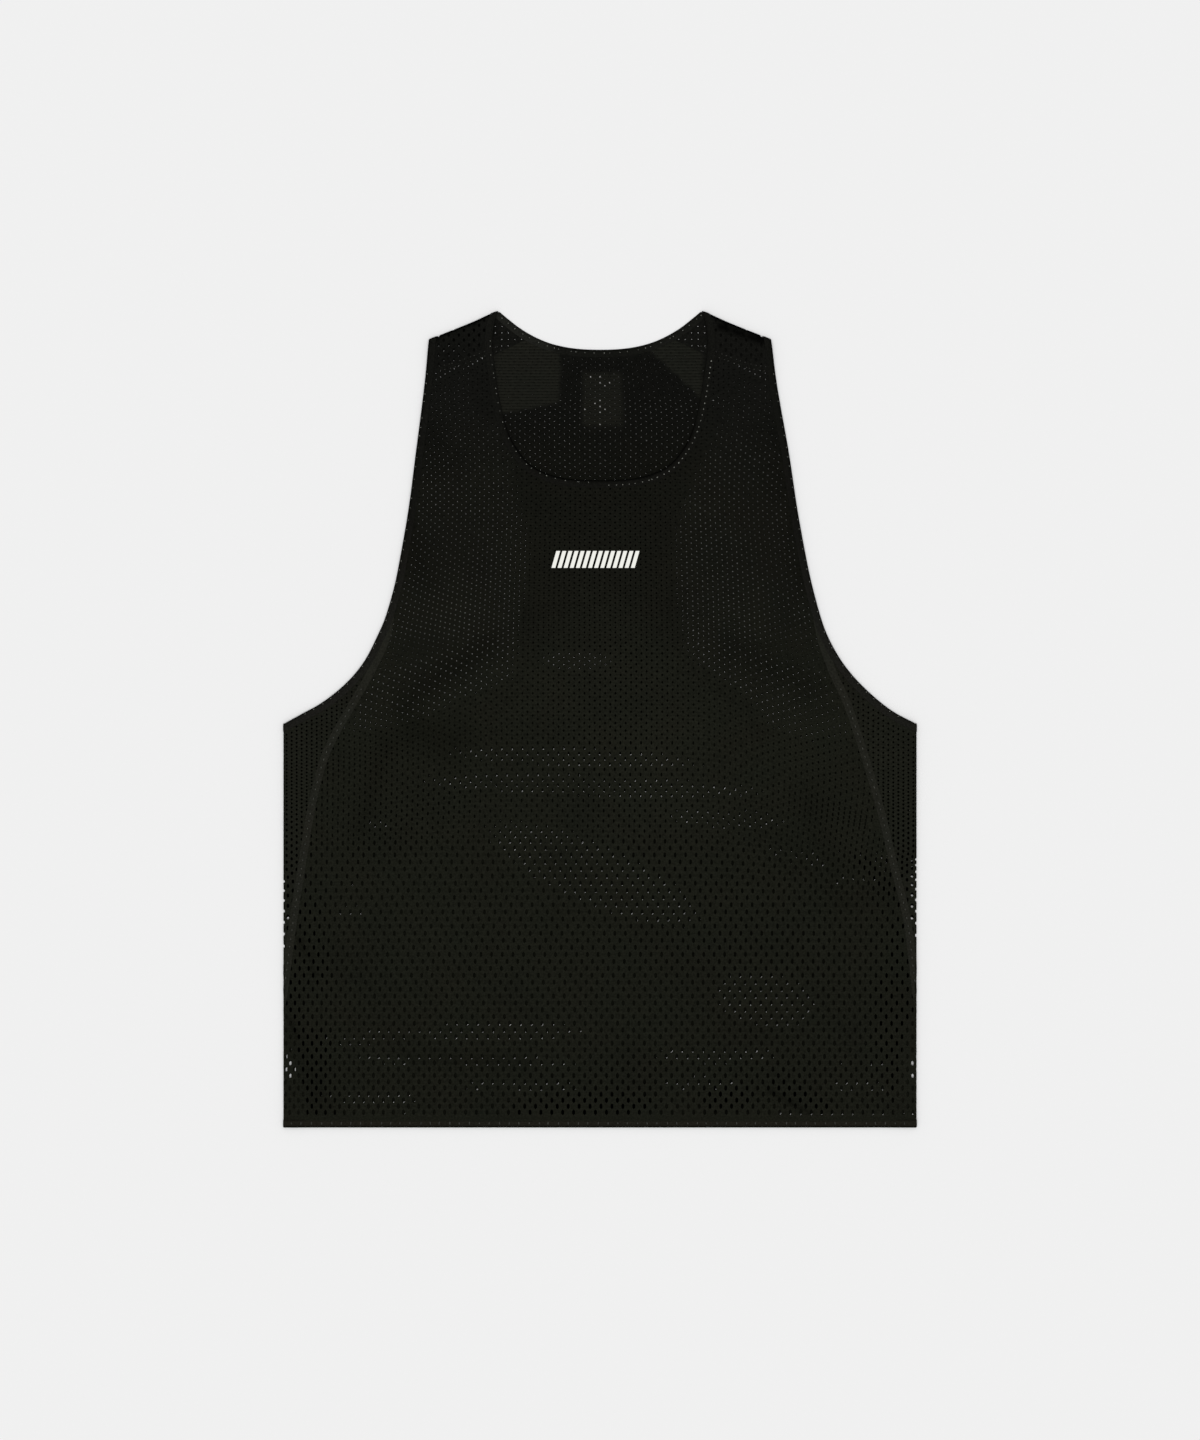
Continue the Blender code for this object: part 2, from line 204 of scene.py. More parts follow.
# Soft ridges in the front layer, each from one place to another
RIDGES = table(
    "start_across start_along stop_across stop_along height width",
    (-172, -16, -204, -126, 1, 15),
    (176, -6, 200, -110, 0.8, 15),
    (10, -283, 236, -288, 0.8, 11),
    (-120, 150, -150, 60, 0.5, 16),
    (124, 170, 156, 66, 0.5, 16),
    (-96, -196, 90, -186, 0.4, 18),
    (-238, -150, -230, -214, 1.6, 14),
    (236, -150, 238, -280, 1.6, 14),
    (-240, -262, -224, -310, 1.5, 14),
    (-50, -304, 36, -304, 1.6, 15),
    (92, -306, 158, -300, 1.1, 12),
)
# Narrow creases that only the cloth has
CREASES = table(
    "start_across start_along stop_across stop_along height width",
    (-6, -284, 120, -286.5, 0.35, 2.4),
    (124, -286, 240, -289, 0.3, 2.2),
    (-250, -181, -239, -211, 0.5, 2.6),
    (-245, -170, -236, -184, 0.4, 2.4),
)

# The knit: where its wales stand, its courses' spacing, how they droop to the sides, and its holes
WALE_POWER = 4  # of the smooth line through the wales' places at one height
WALES_ASIDE = 32  # wales to each side of the middle one
SETTLING_ROUNDS = 3  # in which the course of a place is found
WALE_ROUNDS = 4  # and its wale
WALE_NUMBERS = np.array((-28, -14, -5, 0, 5, 14, 28))
WALES = table(
    "along wale_a wale_b wale_c wale_d wale_e wale_f wale_g",
    (261.6, -210.7, -110.7, -43.5, 0, 44.3, 117.3, 238),
    (179.6, -200, -108.2, -43.5, 0, 44.3, 112.3, 212.4),
    (130.4, -205, -110.7, -43.5, 0, 43.5, 115.6, 218),
    (15.6, -238.6, -118.9, -42.6, 0, 42.6, 119.7, 246),
    (-50, -241, -118.9, -42.6, -0.8, 41.8, 119.7, 251.7),
    (-115.6, -241, -121.4, -45.1, -2.5, 40.2, 117.3, 239.4),
    (-230.4, -242.7, -130.4, -50.8, -7.4, 36.1, 114.8, 234.5),
    (-334.6, -243.5, -132, -52.5, -8.2, 36.1, 117.3, 236.2),
)
BACK_NECK_WALES = table(
    "along wale_a wale_b wale_c wale_d wale_e wale_f wale_g",
    (306, -205, -100, -35.3, 0, 35.3, 100, 205),
)
COURSES = table(
    "along spacing",
    (310.8, 2.46),
    (253.4, 2.42),
    (228.8, 2.71),
    (196, 2.62),
    (163.2, 2.42),
    (130.4, 2.21),
    (97.6, 2.01),
    (66.4, 2.01),
    (63.1, 2.91),
    (32, 2.99),
    (-13.9, 3.12),
    (-17.2, 4.35),
    (-33.6, 4.35),
    (-66.4, 4.18),
    (-95.9, 4.18),
    (-100.9, 5.66),
    (-123.8, 5.82),
    (-148.4, 5.9),
    (-189.4, 5.74),
    (-230.4, 5.62),
    (-271.4, 5.33),
    (-304.2, 5),
    (-334.6, 4.92),
)
# Slip is how far a back hole hangs below the front one that it matches
HOLES = table(
    "along width height slip",
    (310.8, 1.3, 1.5, 0.6),
    (66.4, 1.3, 1.5, 0.6),
    (63.1, 1.55, 2, 0.65),
    (-13.9, 1.5, 2.1, 0.8),
    (-17.2, 1.5, 3, 2.35),
    (-95.9, 1.55, 3, 2.35),
    (-100.9, 2.05, 4.1, 3.62),
    (-334.6, 2.5, 4.4, 4.03),
)
SIDE_HOLES = table(
    "along left_spacing right_spacing width height",
    (30, 1.7, 2.2, 1.5, 1.7),
    (-21, 1.64, 2.2, 1.6, 1.7),
    (-42, 1.4, 1.64, 1.6, 1.6),
    (-66, 1.55, 1.45, 1.7, 1.65),
    (-91, 2.46, 2.05, 1.85, 2.3),
    (-116, 2.8, 2.3, 1.95, 2.7),
    (-140, 4, 4.4, 2.2, 3.4),
    (-160, 4.6, 4.9, 2.5, 3.9),
    (-190, 5.2, 5.2, 2.5, 4.1),
    (-336, 5.2, 5.2, 2.6, 4.1),
)
# How far a course slopes down towards each side, in thousandths
DROOP = table(
    "along left right",
    (302.6, -100, -100),
    (228.8, -50, -50),
    (163.2, 0, 0),
    (130.4, 200, 50),
    (97.6, 300, 200),
    (64.8, 350, 350),
    (32, 330, 420),
    (-0.8, 270, 430),
    (-33.6, 150, 380),
    (-66.4, 80, 200),
    (-107.4, 0, 100),
    (-148.4, 0, 0),
)
DROOP_START = 61.5 * MM  # a course is level up to this distance from the centre line
DROOP_SPAN = 82.0 * MM  # and comes to its full slope over this one
NARROW_RISE = (170 * MM, 60 * MM)  # start and span across, in which the holes get narrower
NARROWER = 0.1
FINE_LIMIT = -14.0 * MM  # above this the holes are small and have four sides
FINE_END = FINE_LIMIT - 3 * MM  # the last fine course lies just above this
BACK_FINE_LIMIT = -45.0 * MM  # the limit on the back, whose holes show less
SIDE_FINE_LIMIT = -80.0 * MM  # and on the side panels
# How much smaller the matched fine holes are: everywhere, below the chest and at the shoulders
FINER, FINER_LOW, FINER_HIGH = 0.17, 0.12, 0.1
FINE_LOW_RISE = (FINE_LIMIT, 8 * MM)
FINE_LOW_FALL = (72 * MM, -16 * MM)
FINE_HIGH_RISE = (205 * MM, 60 * MM)

# Where the back layer's holes lie under the front's, so that the surface below shows through both
CHEST_ZONE = table(
    "along left right",
    (300, 98, 104),
    (261.6, 96, 98),
    (237, 88, 88),
    (196, 65.6, 69.7),
    (146.8, 53.3, 55.8),
    (97.6, 57.4, 59),
    (64.8, 64, 66),
    (48.4, 67, 73.8),
    (32, 69.7, 101),
    (15.6, 114.8, 123),
    (3.3, 135.3, 131),
    (-7.4, 168.1, 138.5),
    (-13.9, 240, 161.5),
    (-25.4, 280, 196.8),
    (-34, 300, 300),
)
CHEST_EASE = 24 * MM  # width of its soft edge
# Zones, each an ellipse that falls towards its right side. In thousandths, share is how fully the
# holes match, and hang is how far the back ones hang, to their slip.
MATCHED = table(
    "across along half_width half_height fall share hang",
    (-20.5, 48.4, 32, 8, 0, 1000, 1000),
    (-25.4, -30.5, 98, 7.5, 4.3, 1000, 1000),
    (-9.8, -54.1, 134, 8, 4.6, 1000, 1010),
    (102.5, -81.2, 44, 7.5, 2, 1000, 1010),
    (158.3, -109.1, 29, 8, 9, 1000, 1000),
    (208, -131.6, 21, 3.6, 0, 1000, 980),
    (-3, -128, 88, 28, 32.5, 960, 1000),
    (-158, -257.5, 88, 6.5, -7, 960, 1000),
    (-74, -256, 62, 8, -2, 960, 1000),
    (-112, -279, 92, 6.5, 2.5, 960, 1005),
    (94, -274.4, 50, 7.4, 0, 960, 1000),
    (-65.6, -300.1, 48, 6, 0, 950, 1010),
    (80.4, -297.7, 31, 6, 0, 950, 1010),
    (-192, -310.5, 46, 6.5, 0, 950, 1000),
    (135, -229, 44, 24, 6, 880, 1068),
    (-182, -85.3, 9, 5, 0, 880, 1020),
    (-203.4, -133.7, 9, 5, 0, 880, 1030),
    (-204, -156.8, 15, 5.5, 0, 900, 1030),
    (208, -301.5, 34, 5.5, 0, 950, 1035),
    (216, -281, 20, 5, 0, 900, 1040),
    (196, -322, 56, 3, 0, 900, 1055),
    (-160, -326, 24, 4, 0, 900, 1010),
    (-254, -283, 4.5, 12.5, 0, 1000, 250),
    (256.5, -287, 4, 15, 0, 1000, 250),
    (257, -316, 3.5, 10, 0, 1000, 850),
)
# Where a side fold runs down the middle of a row of holes, which notch its edge
NOTCHED = table(
    "side start stop lit_start lit_stop hang",
    (-1000, -127, -188, -158, -168, 560),
    (1000, -112, -182, -125, -172, 540),
)
ZONE_WHOLE = 0.6  # share of a zone's half sizes within which its share is whole
ZONE_FADE = 0.8  # and over which it then fades
BACK_SLIP = 0.25  # of a pitch, by which holes that don't match slip aside
BACK_SLIP_RISE = (-85 * MM, -30 * MM)  # start and span along, past which it is twice that
HANG_OUTSIDE = 2.0  # how much further the fine holes hang outside the zones
HANG_LAST = 0.9  # and in their last courses
HANG_LAST_RISE = (-4 * MM, -13 * MM)

# Denser knit inside the back neck, where each hole is a dimple with a small opening. Pale is how
# much lighter a patch is, in thousandths, and a later patch lies over an earlier one.
NECK_PATCHES = table(
    "left right bottom_left bottom_right top opening pale",
    (-92, 92, 192, 192, 335, 0.48, 0),
    (-92, 92, 262, 262, 335, 0.37, 0),
    (-14.5, 18, 240.5, 240.5, 284, 0.36, 270),
    (-87, -33, 249, 259.5, 316, 0.17, 350),
    (42, 84, 301, 262.5, 316, 0.18, 340),
)
MIDDLE_PATCH = NECK_PATCHES[2]
PATCH_EASE = 2.4 * MM
WIDE_OPENINGS = (0.3, 0.1)  # shares of wide openings in the middle patch's left and right parts
WIDE_LIMIT = 2 * MM  # where its left part ends
WIDER = 2.4  # size of a wide opening, to a plain one
# Soft painted shadows in the folds and hollows of the front, and painted highlights where a height is
# below 0, in thousandths of its shade
SHADOWS = table(
    "start_across start_along stop_across stop_along height width",
    (-150, -10, -122, -20, 250, 17),
    (-140, 232, -132, 216, 170, 16),
    (-158, 150, -142, 112, 200, 14),
    (-160, 12, -90, 62, 300, 13),
    (144, 236, 150, 190, 180, 16),
    (160, 150, 166, 112, 180, 10),
    (106, 60, 176, 24, 230, 12),
    (-176, -20, -196, -90, 170, 9),
    (168, -60, 196, -150, 130, 14),
    (-156, -277, -60, -281, 190, 6),
    (0, 116, 0, 52, -150, 58),
    (60, 30, 30, -110, -70, 34),
    (-247, -179.5, -234, -209, 380, 1.8),
    (-254.5, -245, -248, -261, 350, 1.8),
    (139.5, -304.5, 172, -323.5, 420, 2.2),
    (-170, -327, -163, -328.5, 800, 1.8),
    (-60, -327, -54, -328, 600, 1.6),
    (-11, -327, -6, -328, 600, 1.6),
    (98, 322, 134, 309, 800, 2.6),
    (-138, 296, -120, 302, 150, 12),
    (-250, -262, -226, -318, 110, 12),
    (128, -80, 158, -116, 110, 16),
)
# Painted shadow: where the front stands off the back, whose cloth is then dark behind the holes, in
# the front's shade
HOLLOW_SHADOWS = table(
    "start_across start_along stop_across stop_along height width",
    (-240, -157, -232, -209, 1250, 9),
    (-251, -203, -250, -268, 1250, 6),
    (-230.5, -265, -243, -318, 1250, 11),
    (-233, -326, -212, -327, 1100, 4),
    (-28, -318, 18, -315, 1200, 9),
    (30, -318, 36, -315, 1050, 6),
    (-66, -322, -28, -318, 700, 8),
    (94, -312, 116, -310, 1200, 9),
    (146, -301, 162, -309, 1050, 7),
    (164, -308, 184, -318, 1050, 6),
    (246, -172, 249, -212, 1350, 9),
    (243, -222, 243, -262, 1500, 15),
    (246, -262, 248, -304, 1400, 10),
    (214, -114, 236, -140, 1150, 5.5),
    (-119, 314.5, -95, 318.5, 1150, 7.5),
    (-170, -90, -120, -60, 350, 22),
    (10, 140, 10, -10, 450, 60),
    (0, 186, 0, 132, 450, 42),
    (40, -100, 150, -200, 250, 60),
)

# Making of the cloth
CLOTH = 0.36 * MM  # thickness of the mesh
BAND_CLOTH = 0.26 * MM  # thickness of the bindings' knit
BAND_LIFT = 0.35 * MM  # a binding's two sides lie this far off the middle of the cloth
TUCK = 0.8 * MM  # cloth that runs into a binding
HOLE_MARGIN = 0.35 * MM  # cloth left between a hole and a cut edge
PITCH = 8.2 * MM  # between two wales
SIDE_TOP = 80 * MM  # where the side panels' holes start
SIDE_WALES = 12  # wales to each side of the one by the fold
SIDE_COURSE = 3 * MM  # height of the pattern of their knit
SIDE_LATTICE_END = -125.0 * MM  # below it the back of a side panel carries on the body's holes
SIDE_NOTCH = FOLD_LENGTH / 2  # run of a wale of the side panels that lies on the fold
SIDE_NOTCH_WIDTH = 3.3 * MM
SIDE_NOTCH_LOWER = 0.25  # how much lower a hole is there
SIDE_NOTCH_EASE = 5 * MM
SIDE_HANG = 3 * MM  # run over which the holes past a side fold come to hang fully
SIDE_CLEAR = 2.6 * MM  # its run where no hole lies over another
SIDE_EDGE = 8.0 * MM  # run to which a notched side's own holes go on everywhere
SIDE_PLAIN_EDGE = 2.2 * MM  # where there are no notches, the body's holes end this far off the fold
YOKE_PITCH = 8.3 * MM
YOKE_COURSE = 4.05 * MM
YOKE_START = (70 * MM, 270 * MM)  # the hole that a yoke's wales and courses count from
YOKE_COURSES = range(-4, 30)
YOKE_WALES = range(-8, 24)
YOKE_HOLE = np.array((2.0, 2.9)) * MM
YOKE_UNEVEN = (0.75, 1.1)  # least and most size of a hole in a yoke's back
YOKE_OVERLAP = 0.8  # of a hole's size, within which another shows through it
BACK_YOKE_SHARE = 0.3  # size of a yoke's holes past the shoulder fold, to those before it
BACK_YOKE_PITCH = 0.92  # and their pitch
YOKE_LIT = {-1: 13.0 * MM, 1: -2.0 * MM}  # height above each front seam where the holes match
YOKE_LIT_OUT = 100 * MM  # it is that at this distance from the centre line
YOKE_LIT_RISE = 0.2  # and this much higher for each metre further out
YOKE_LIT_START = 111.0 * MM  # how far out from the centre line they start to match
YOKE_LIT_UNDER = 9.5 * MM  # how far below a seam they match
YOKE_LIT_SHARE = 0.25  # size of a matching back hole, to the front one
YOKE_LIT_SLIP = (0.0, 0.6 * MM)
YOKE_LIT_MARGIN = 2 * MM  # other back holes keep this far off where they match
UNDER_PAINTED_SHADE = 0.36  # painted shade: how much darker the back layer is under the front, in its shade
SIDE_UNDER_PAINTED_SHADE = 0.95  # painted shade of a side panel's back part under its own front part
SIDE_HOLLOW_PAINTED_SHADE = 0.55  # and painted shade of it under the front panel
NECK_DARK = 0.03  # how much darker the back layer is inside the neck
# Darkest painted shade, which is black
DEEPEST_PAINTED_SHADE = 1.0
DIMPLE_DEPTH = 0.14 * MM
OPENING_REACH = 0.6 * MM  # places nearer to the middle of a dimple belong to its opening
OPENING_HEIGHT = 1.15  # of an opening, to its width
RIM_PAINTED_SHADE = 0.17  # painted shade: how much darker the knit is round an opening, in its dimple's shade
RIM_REACH = 2 * OPENING_REACH  # and up to this distance from its middle
RIBBED_LIMIT = 0.1  # knit that is more ribbed has no dark rims
PATCH_LIGHT = 0.7  # how much of a patch's pale share goes into its shade
SIDE_FOLD_PAINTED_SHADE = 0.5  # painted shade: how much darker a side fold is than the front, as it turns from the light
SIDE_FOLD_EASE = 0.6 * MM
# Painted shade on a shoulder fold, as it turns from the light
YOKE_FOLD_PAINTED_SHADE = 0.85
YOKE_FOLD_EASE = 1.6 * MM  # run before the fold, over which it darkens
# Painted shade across a binding's rows, from its outer edge on the front, round the fold, to the
# back: darkest round the fold, which turns from the light, and on the hem also at its two edges
BINDING_PAINTED_SHADE = np.array((0.0, 0.0, 0.05, 0.4, 0.85, 0.9, 0.85, 0.4, 0.05, 0.0, 0.0))[:, None]
HEM_PAINTED_SHADE = np.array((0.5, 0.0, 0.05, 0.4, 0.85, 0.9, 0.85, 0.4, 0.05, 0.0, 0.5))[:, None]
# Under the arm, an armhole's binding is paler, with less of its painted fold shade
UNDERARM_PALE = 0.62
UNDERARM_RISE = (175 * MM, -115 * MM)
# The neck's binding, on the back: how pale it is at the left and right ends, and all over
NECK_ENDS_PALE = (1.3, 0.35)
NECK_ENDS_RISE = (34 * MM, 10 * MM)
NECK_BACK_PALE = 0.12
# and on the front: how much paler its left and right tops are, and how its painted fold shade fades
# upwards
NECK_TOPS_PALE = (0.12, 0.03)
NECK_TOPS_RISE = (278 * MM, 22 * MM)
NECK_FADE = 0.8
NECK_FADE_RISE = (226 * MM, 34 * MM)
# Out from the fold on a binding's outer side: shares of its width and of its lift
BINDING_PROFILE = ((1.0, 1.0), (0.72, 1.1), (0.4, 1.16), (0.15, 1.0), (0.04, 0.65))
TAPE = 0.18 * MM  # thickness of the tapes over the seams
TAPE_LIFT = CLOTH / 2 + TAPE / 2 + 0.03 * MM
TAPE_STATIONS = 90
TAPE_PROFILE = (-0.5, -0.42, -0.15, 0.15, 0.42, 0.5)  # its rows, in shares of its width
SIDE_TAPE = 6.4 * MM  # widths of the tapes
BACK_TAPE = 5.0 * MM
YOKE_TAPE = 3.2 * MM
SIDE_TAPE_TUCK = TUCK - HEM_DEPTH / 8  # how much further the front tapes run into the hem
BAND_KNIT = 8 * MM  # width and height of the pattern of a band's or tape's knit
# Rows of stitches: their distance from an edge, and where they end
NECK_RIGHT_ROW = 3.9 * MM
NECK_RIGHT_TOP = 298 * MM
NECK_LEFT_ROW = 1.5 * MM
NECK_BACK_ROW = 2.6 * MM
ARMHOLE_ROW = 1.2 * MM
ARMHOLE_ROW_END = 4  # points of the edge left free at each fold
YOKE_ROW = 1.8 * MM  # to each side of a front yoke seam
YOKE_ROW_END = 6  # point of the armhole's edge that the row stops at
SIDE_ROW_TOP = 30 * MM
HEM_ROW = 0.55 * HEM_DEPTH
STITCH_WIDTH = 0.6  # of a stitch, to its length
SMALL_STITCH = 0.75  # size of a small one, to a plain one
STITCH_STRETCH = (0.8, 1.2)  # least and most length of one, to the row's own
STITCH_TURN = 2.4  # how far stitches turn, in radians, for the unevenness of a row
# Sizes and pitches of the stitches on the side seams and the hem
SIDE_STITCH = (1.8 * MM, 0.9 * MM)
SIDE_STITCH_PITCH = 6.5 * MM
HEM_STITCH = (2.3 * MM, 0.95 * MM)
HEM_STITCH_PITCH = 8.1 * MM
# The strip of film on the chest, and its bars
FILM_PLACE = np.array((-3.7, 130.8)) * MM
FILM_LENGTH = 70.0 * MM
FILM_HEIGHT = 13.9 * MM
FILM = 0.12 * MM  # thickness
BAR_WIDTH = 3.2 * MM
BAR_SLANT = 4.0 * MM
FLOOR_CLEARANCE = 0.14 * MM
HEM_STATIONS = 160
WELD = MM / 1e4  # flat places nearer than this are one
SMOOTH_ANGLE = math.radians(40)

# The knit's finish, and the stage
RIB_SHADE = 0.1  # how much the courses show
KNIT_ROUGHNESS = 0.92
CAMERA_ALONG = -0.8 * MM
LENS, SENSOR = 85.0, 36.0
LAMP_ANGLE = math.radians(60)
LAMP_HEIGHT = 2.0


# Lines in a plane

def ease(value):
    """Smooth step from 0 to 1."""
    value = np.clip(value, 0.0, 1.0)
    return value * value * (3 - 2 * value)


def ramp(value, start_and_span):
    """Smooth step from 0 to 1 over a span from a start, downwards for a span below 0."""
    start, span = start_and_span
    return ease((value - start) / span)


def smooth(points, pieces=6):
    """Points on a smooth line through the given ones."""
    points = np.asarray(points, float)
    ends = np.vstack([2 * points[0] - points[1], points, 2 * points[-1] - points[-2]])
    last = len(points) - 1
    before, start, stop, after = (ends[i : i + last, None] for i in range(4))
    t = (np.arange(pieces) / pieces)[None, :, None]
    slope = (stop - before) * t
    bend = (2 * before - 5 * start + 4 * stop - after) * t**2
    twist = (3 * start - before - 3 * stop + after) * t**3
    line = start + (slope + bend + twist) / 2
    return np.vstack([line.reshape(-1, points.shape[1]), points[-1]])


def smooth_between(places, values, at):
    """Values at given places on smooth lines through a table's rows, in rising order of place."""
    slopes = np.gradient(values, places, axis=0)
    at = np.clip(at, places[0], places[-1])
    row = np.clip(np.searchsorted(places, at) - 1, 0, len(places) - 2)
    span = places[row + 1] - places[row]
    t = ((at - places[row]) / span)[..., None]
    span = span[..., None]
    rise = values[row] * (2 * t**3 - 3 * t**2 + 1) + values[row + 1] * (3 * t**2 - 2 * t**3)
    return rise + span * (slopes[row] * (t**3 - 2 * t**2 + t) + slopes[row + 1] * (t**3 - t**2))


def stepped(rows, name, along):
    """A column's value at given places, straight between its rows, which run down the garment."""
    return np.interp(along, column(rows, "along")[::-1], column(rows, name)[::-1])


def side_line(rows, side):
    """A line through the rows of one side, -1 for the left and 1 for the right."""
    return smooth(np.column_stack([side * column(rows, SIDE_NAMES[side]), column(rows, "along")]))


def plain_line(rows, side):
    return smooth(np.column_stack([side * column(rows, "across"), column(rows, "along")]))


def both_halves(rows):
    """A line from right to left through the rows of a right half that ends on the centre line."""
    right = np.column_stack([column(rows, "across"), column(rows, "along")])
    return smooth(np.vstack([right, right[-2::-1] * (-1, 1)]))


def end_on(line, reach):
    """The line, with its end stretches carried straight on."""
    before = line[0] + (line[0] - line[1]) / np.linalg.norm(line[0] - line[1]) * reach
    after = line[-1] + (line[-1] - line[-2]) / np.linalg.norm(line[-1] - line[-2]) * reach
    return np.vstack([before, line, after])


SHOULDER_LINE = end_on(plain_line(SHOULDER, 1), HALF_LENGTH)


def shoulder_start(across):
    """Where the cloth starts to turn at a shoulder."""
    top = np.interp(np.abs(across), SHOULDER_LINE[:, 0], SHOULDER_LINE[:, 1])
    return top - WALL / 2 - FOLD_RADIUS


def offset(line, distance):
    """A line to the left of the given one, or to the right for a distance below 0."""
    ahead = np.vstack([line[1] - line[0], line[2:] - line[:-2], line[-1] - line[-2]])
    length = np.linalg.norm(ahead, axis=1, keepdims=True)
    return line + distance * np.column_stack([-ahead[:, 1], ahead[:, 0]]) / length


def run_along(line):
    """How far along a line each of its points is."""
    steps = np.linalg.norm(np.diff(line, axis=0), axis=1)
    return np.concatenate([[0.0], np.cumsum(steps)])


def band_line(edge, distance, first, last):
    """The edge's offset, with its ends set off by given steps, to lie along a fold."""
    run = run_along(edge)
    across = offset(edge, distance) - edge
    for step, away in ((first, run), (last, run[-1] - run)):
        across = step + (across - step) * ease(away / BAND_EASE)[:, None]
    return edge + across


def crossing(first, second):
    """Where two lines meet, and how many points of each come before it."""
    start, step = first[:-1, None], np.diff(first, axis=0)[:, None]
    other, reach = second[None, :-1], np.diff(second, axis=0)[None]

    def turn(a, b):
        return a[..., 0] * b[..., 1] - a[..., 1] * b[..., 0]

    full = turn(step, reach)
    full = np.where(full == 0, 1e-30, full)  # stretches that are parallel never meet
    share = turn(other - start, reach) / full
    across = turn(other - start, step) / full
    met = np.argwhere((share >= 0) & (share <= 1) & (across >= 0) & (across <= 1))
    if not len(met):
        raise ValueError(f"two edges of a piece don't meet: {first[0]} and {second[0]}")
    i, j = met[0]
    return first[i] + share[i, j] * (first[i + 1] - first[i]), i + 1, j + 1


def enclose(*lines):
    """The outline between lines that each cross the next, and the last one the first."""
    meets = [crossing(line, after) for line, after in zip(lines, lines[1:] + lines[:1])]
    outline = []
    for line, before, after in zip(lines, meets[-1:] + meets[:-1], meets):
        outline += [before[0][None], line[before[2] : after[1]]]
    outline = np.vstack(outline)
    apart = np.linalg.norm(outline - np.roll(outline, 1, axis=0), axis=1)
    return outline[apart > SEAM_GAP / 10]


# Laying the cloth

def swell(rows, across, along):
    """Height of a table's soft ridges, or strength of its soft stripes, at given places."""
    rise = np.zeros(np.broadcast(across, along).shape)
    for row in rows:
        length = np.array((row.stop_across - row.start_across, row.stop_along - row.start_along))
        from_start = np.stack([across - row.start_across, along - row.start_along], axis=-1)
        share = np.clip(from_start @ length / (length @ length), 0, 1)
        away = np.linalg.norm(from_start - share[..., None] * length, axis=-1)
        rise = rise + row.height * np.exp(-((away / row.width) ** 2))
    return rise


def relief(across, along):
    """How far the front layer stands above the height that it leaves a fold at."""
    from_side = ease((SIDE - np.abs(across)) / EDGE_EASE)
    from_top = ease((shoulder_start(across) - along) / EDGE_EASE)
    ridges = (swell(RIDGES, across, along) + swell(CREASES, across, along)) * from_side
    return ridges - SINK * from_side * from_top


def round_fold(run, lift):
    """How far the cloth reaches past the start of a fold, and its height, at a given run."""
    angle = np.clip(run / FOLD_RADIUS, 0.0, math.pi)
    radius = FOLD_RADIUS + lift
    reach = np.minimum(run, 0.0) + radius * np.sin(angle) - np.maximum(run - FOLD_LENGTH, 0.0)
    return reach, FOLD_LEVEL + radius * np.cos(angle)


def lay_back(points, lift=0.0):
    level = np.maximum(np.full(len(points), WALL / 2) - lift, FLOOR_CLEARANCE)
    return np.column_stack([points, level])


def lay_round_side(points, lift=0.0):
    """From the plane in which the side folds are unrolled."""
    run = np.abs(points[:, 0]) - SIDE
    reach, height = round_fold(run, lift)
    across = np.copysign(SIDE + reach, points[:, 0])
    height = height + np.where(run < 0, relief(across, points[:, 1]), 0.0)
    return np.column_stack([across, points[:, 1], height])


def lay_round_shoulder(points, lift=0.0):
    """From the plane in which a shoulder fold is unrolled, with the run as its second axis."""
    reach, height = round_fold(points[:, 1], lift)
    along = shoulder_start(points[:, 0]) + reach
    height = height + np.where(points[:, 1] < 0, relief(points[:, 0], along), 0.0)
    return np.column_stack([points[:, 0], along, height])


def unroll_side(points):
    """Places on the back layer, in the plane in which the side folds are unrolled."""
    across = np.copysign(2 * SIDE + FOLD_LENGTH, points[:, 0]) - points[:, 0]
    return np.column_stack([across, points[:, 1]])


def unroll_shoulder(points, layer):
    run = points[:, 1] - shoulder_start(points[:, 0])
    return np.column_stack([points[:, 0], run if layer == FRONT else FOLD_LENGTH - run])


def fold_cuts(start):
    """Where a fold that starts at a given place is bent."""
    return start + FOLD_LENGTH * np.arange(FOLD_STEPS + 1) / FOLD_STEPS


TURN = fold_cuts(0.0)[1:-1]


class Armhole:
    """The edge of one armhole on each layer, and lines inside it, from the shoulder to the side."""

    def __init__(self, side):
        self.side = side
        front = side_line(ARMHOLE, side)
        front[0, 1] = shoulder_start(front[0, 0])
        front[-1, 0] = side * SIDE
        place = np.arange(len(front)) / (len(front) - 1)
        share = ease(SCOOP_SPREAD * np.minimum(place, 1 - place))[:, None]
        back = front + (offset(front, -side * BACK_SCOOP) - front) * share
        self.edge = {FRONT: front, BACK: back}

    def inside(self, layer, distance):
        edge = self.edge[layer]
        inner = edge[0, 0] - self.side * distance
        along_shoulder = np.array((-self.side * distance, shoulder_start(inner) - edge[0, 1]))
        return band_line(edge, -self.side * distance, along_shoulder, distance * ALONG_SIDE)

    def ring(self, distance, lift=0.0):
        """Places on a line that runs round both folds, at a distance from the edge."""
        front, back = (self.inside(layer, distance) for layer in LAYERS)
        side_turn = front[-1] + np.column_stack([self.side * TURN, 0 * TURN])
        shoulder_turn = np.column_stack([front[0, 0] + 0 * TURN, TURN[::-1]])
        return np.vstack(
            [
                lay_round_side(np.vstack([front, side_turn]), lift),
                lay_back(back[::-1], lift),
                lay_round_shoulder(shoulder_turn, lift),
            ]
        )


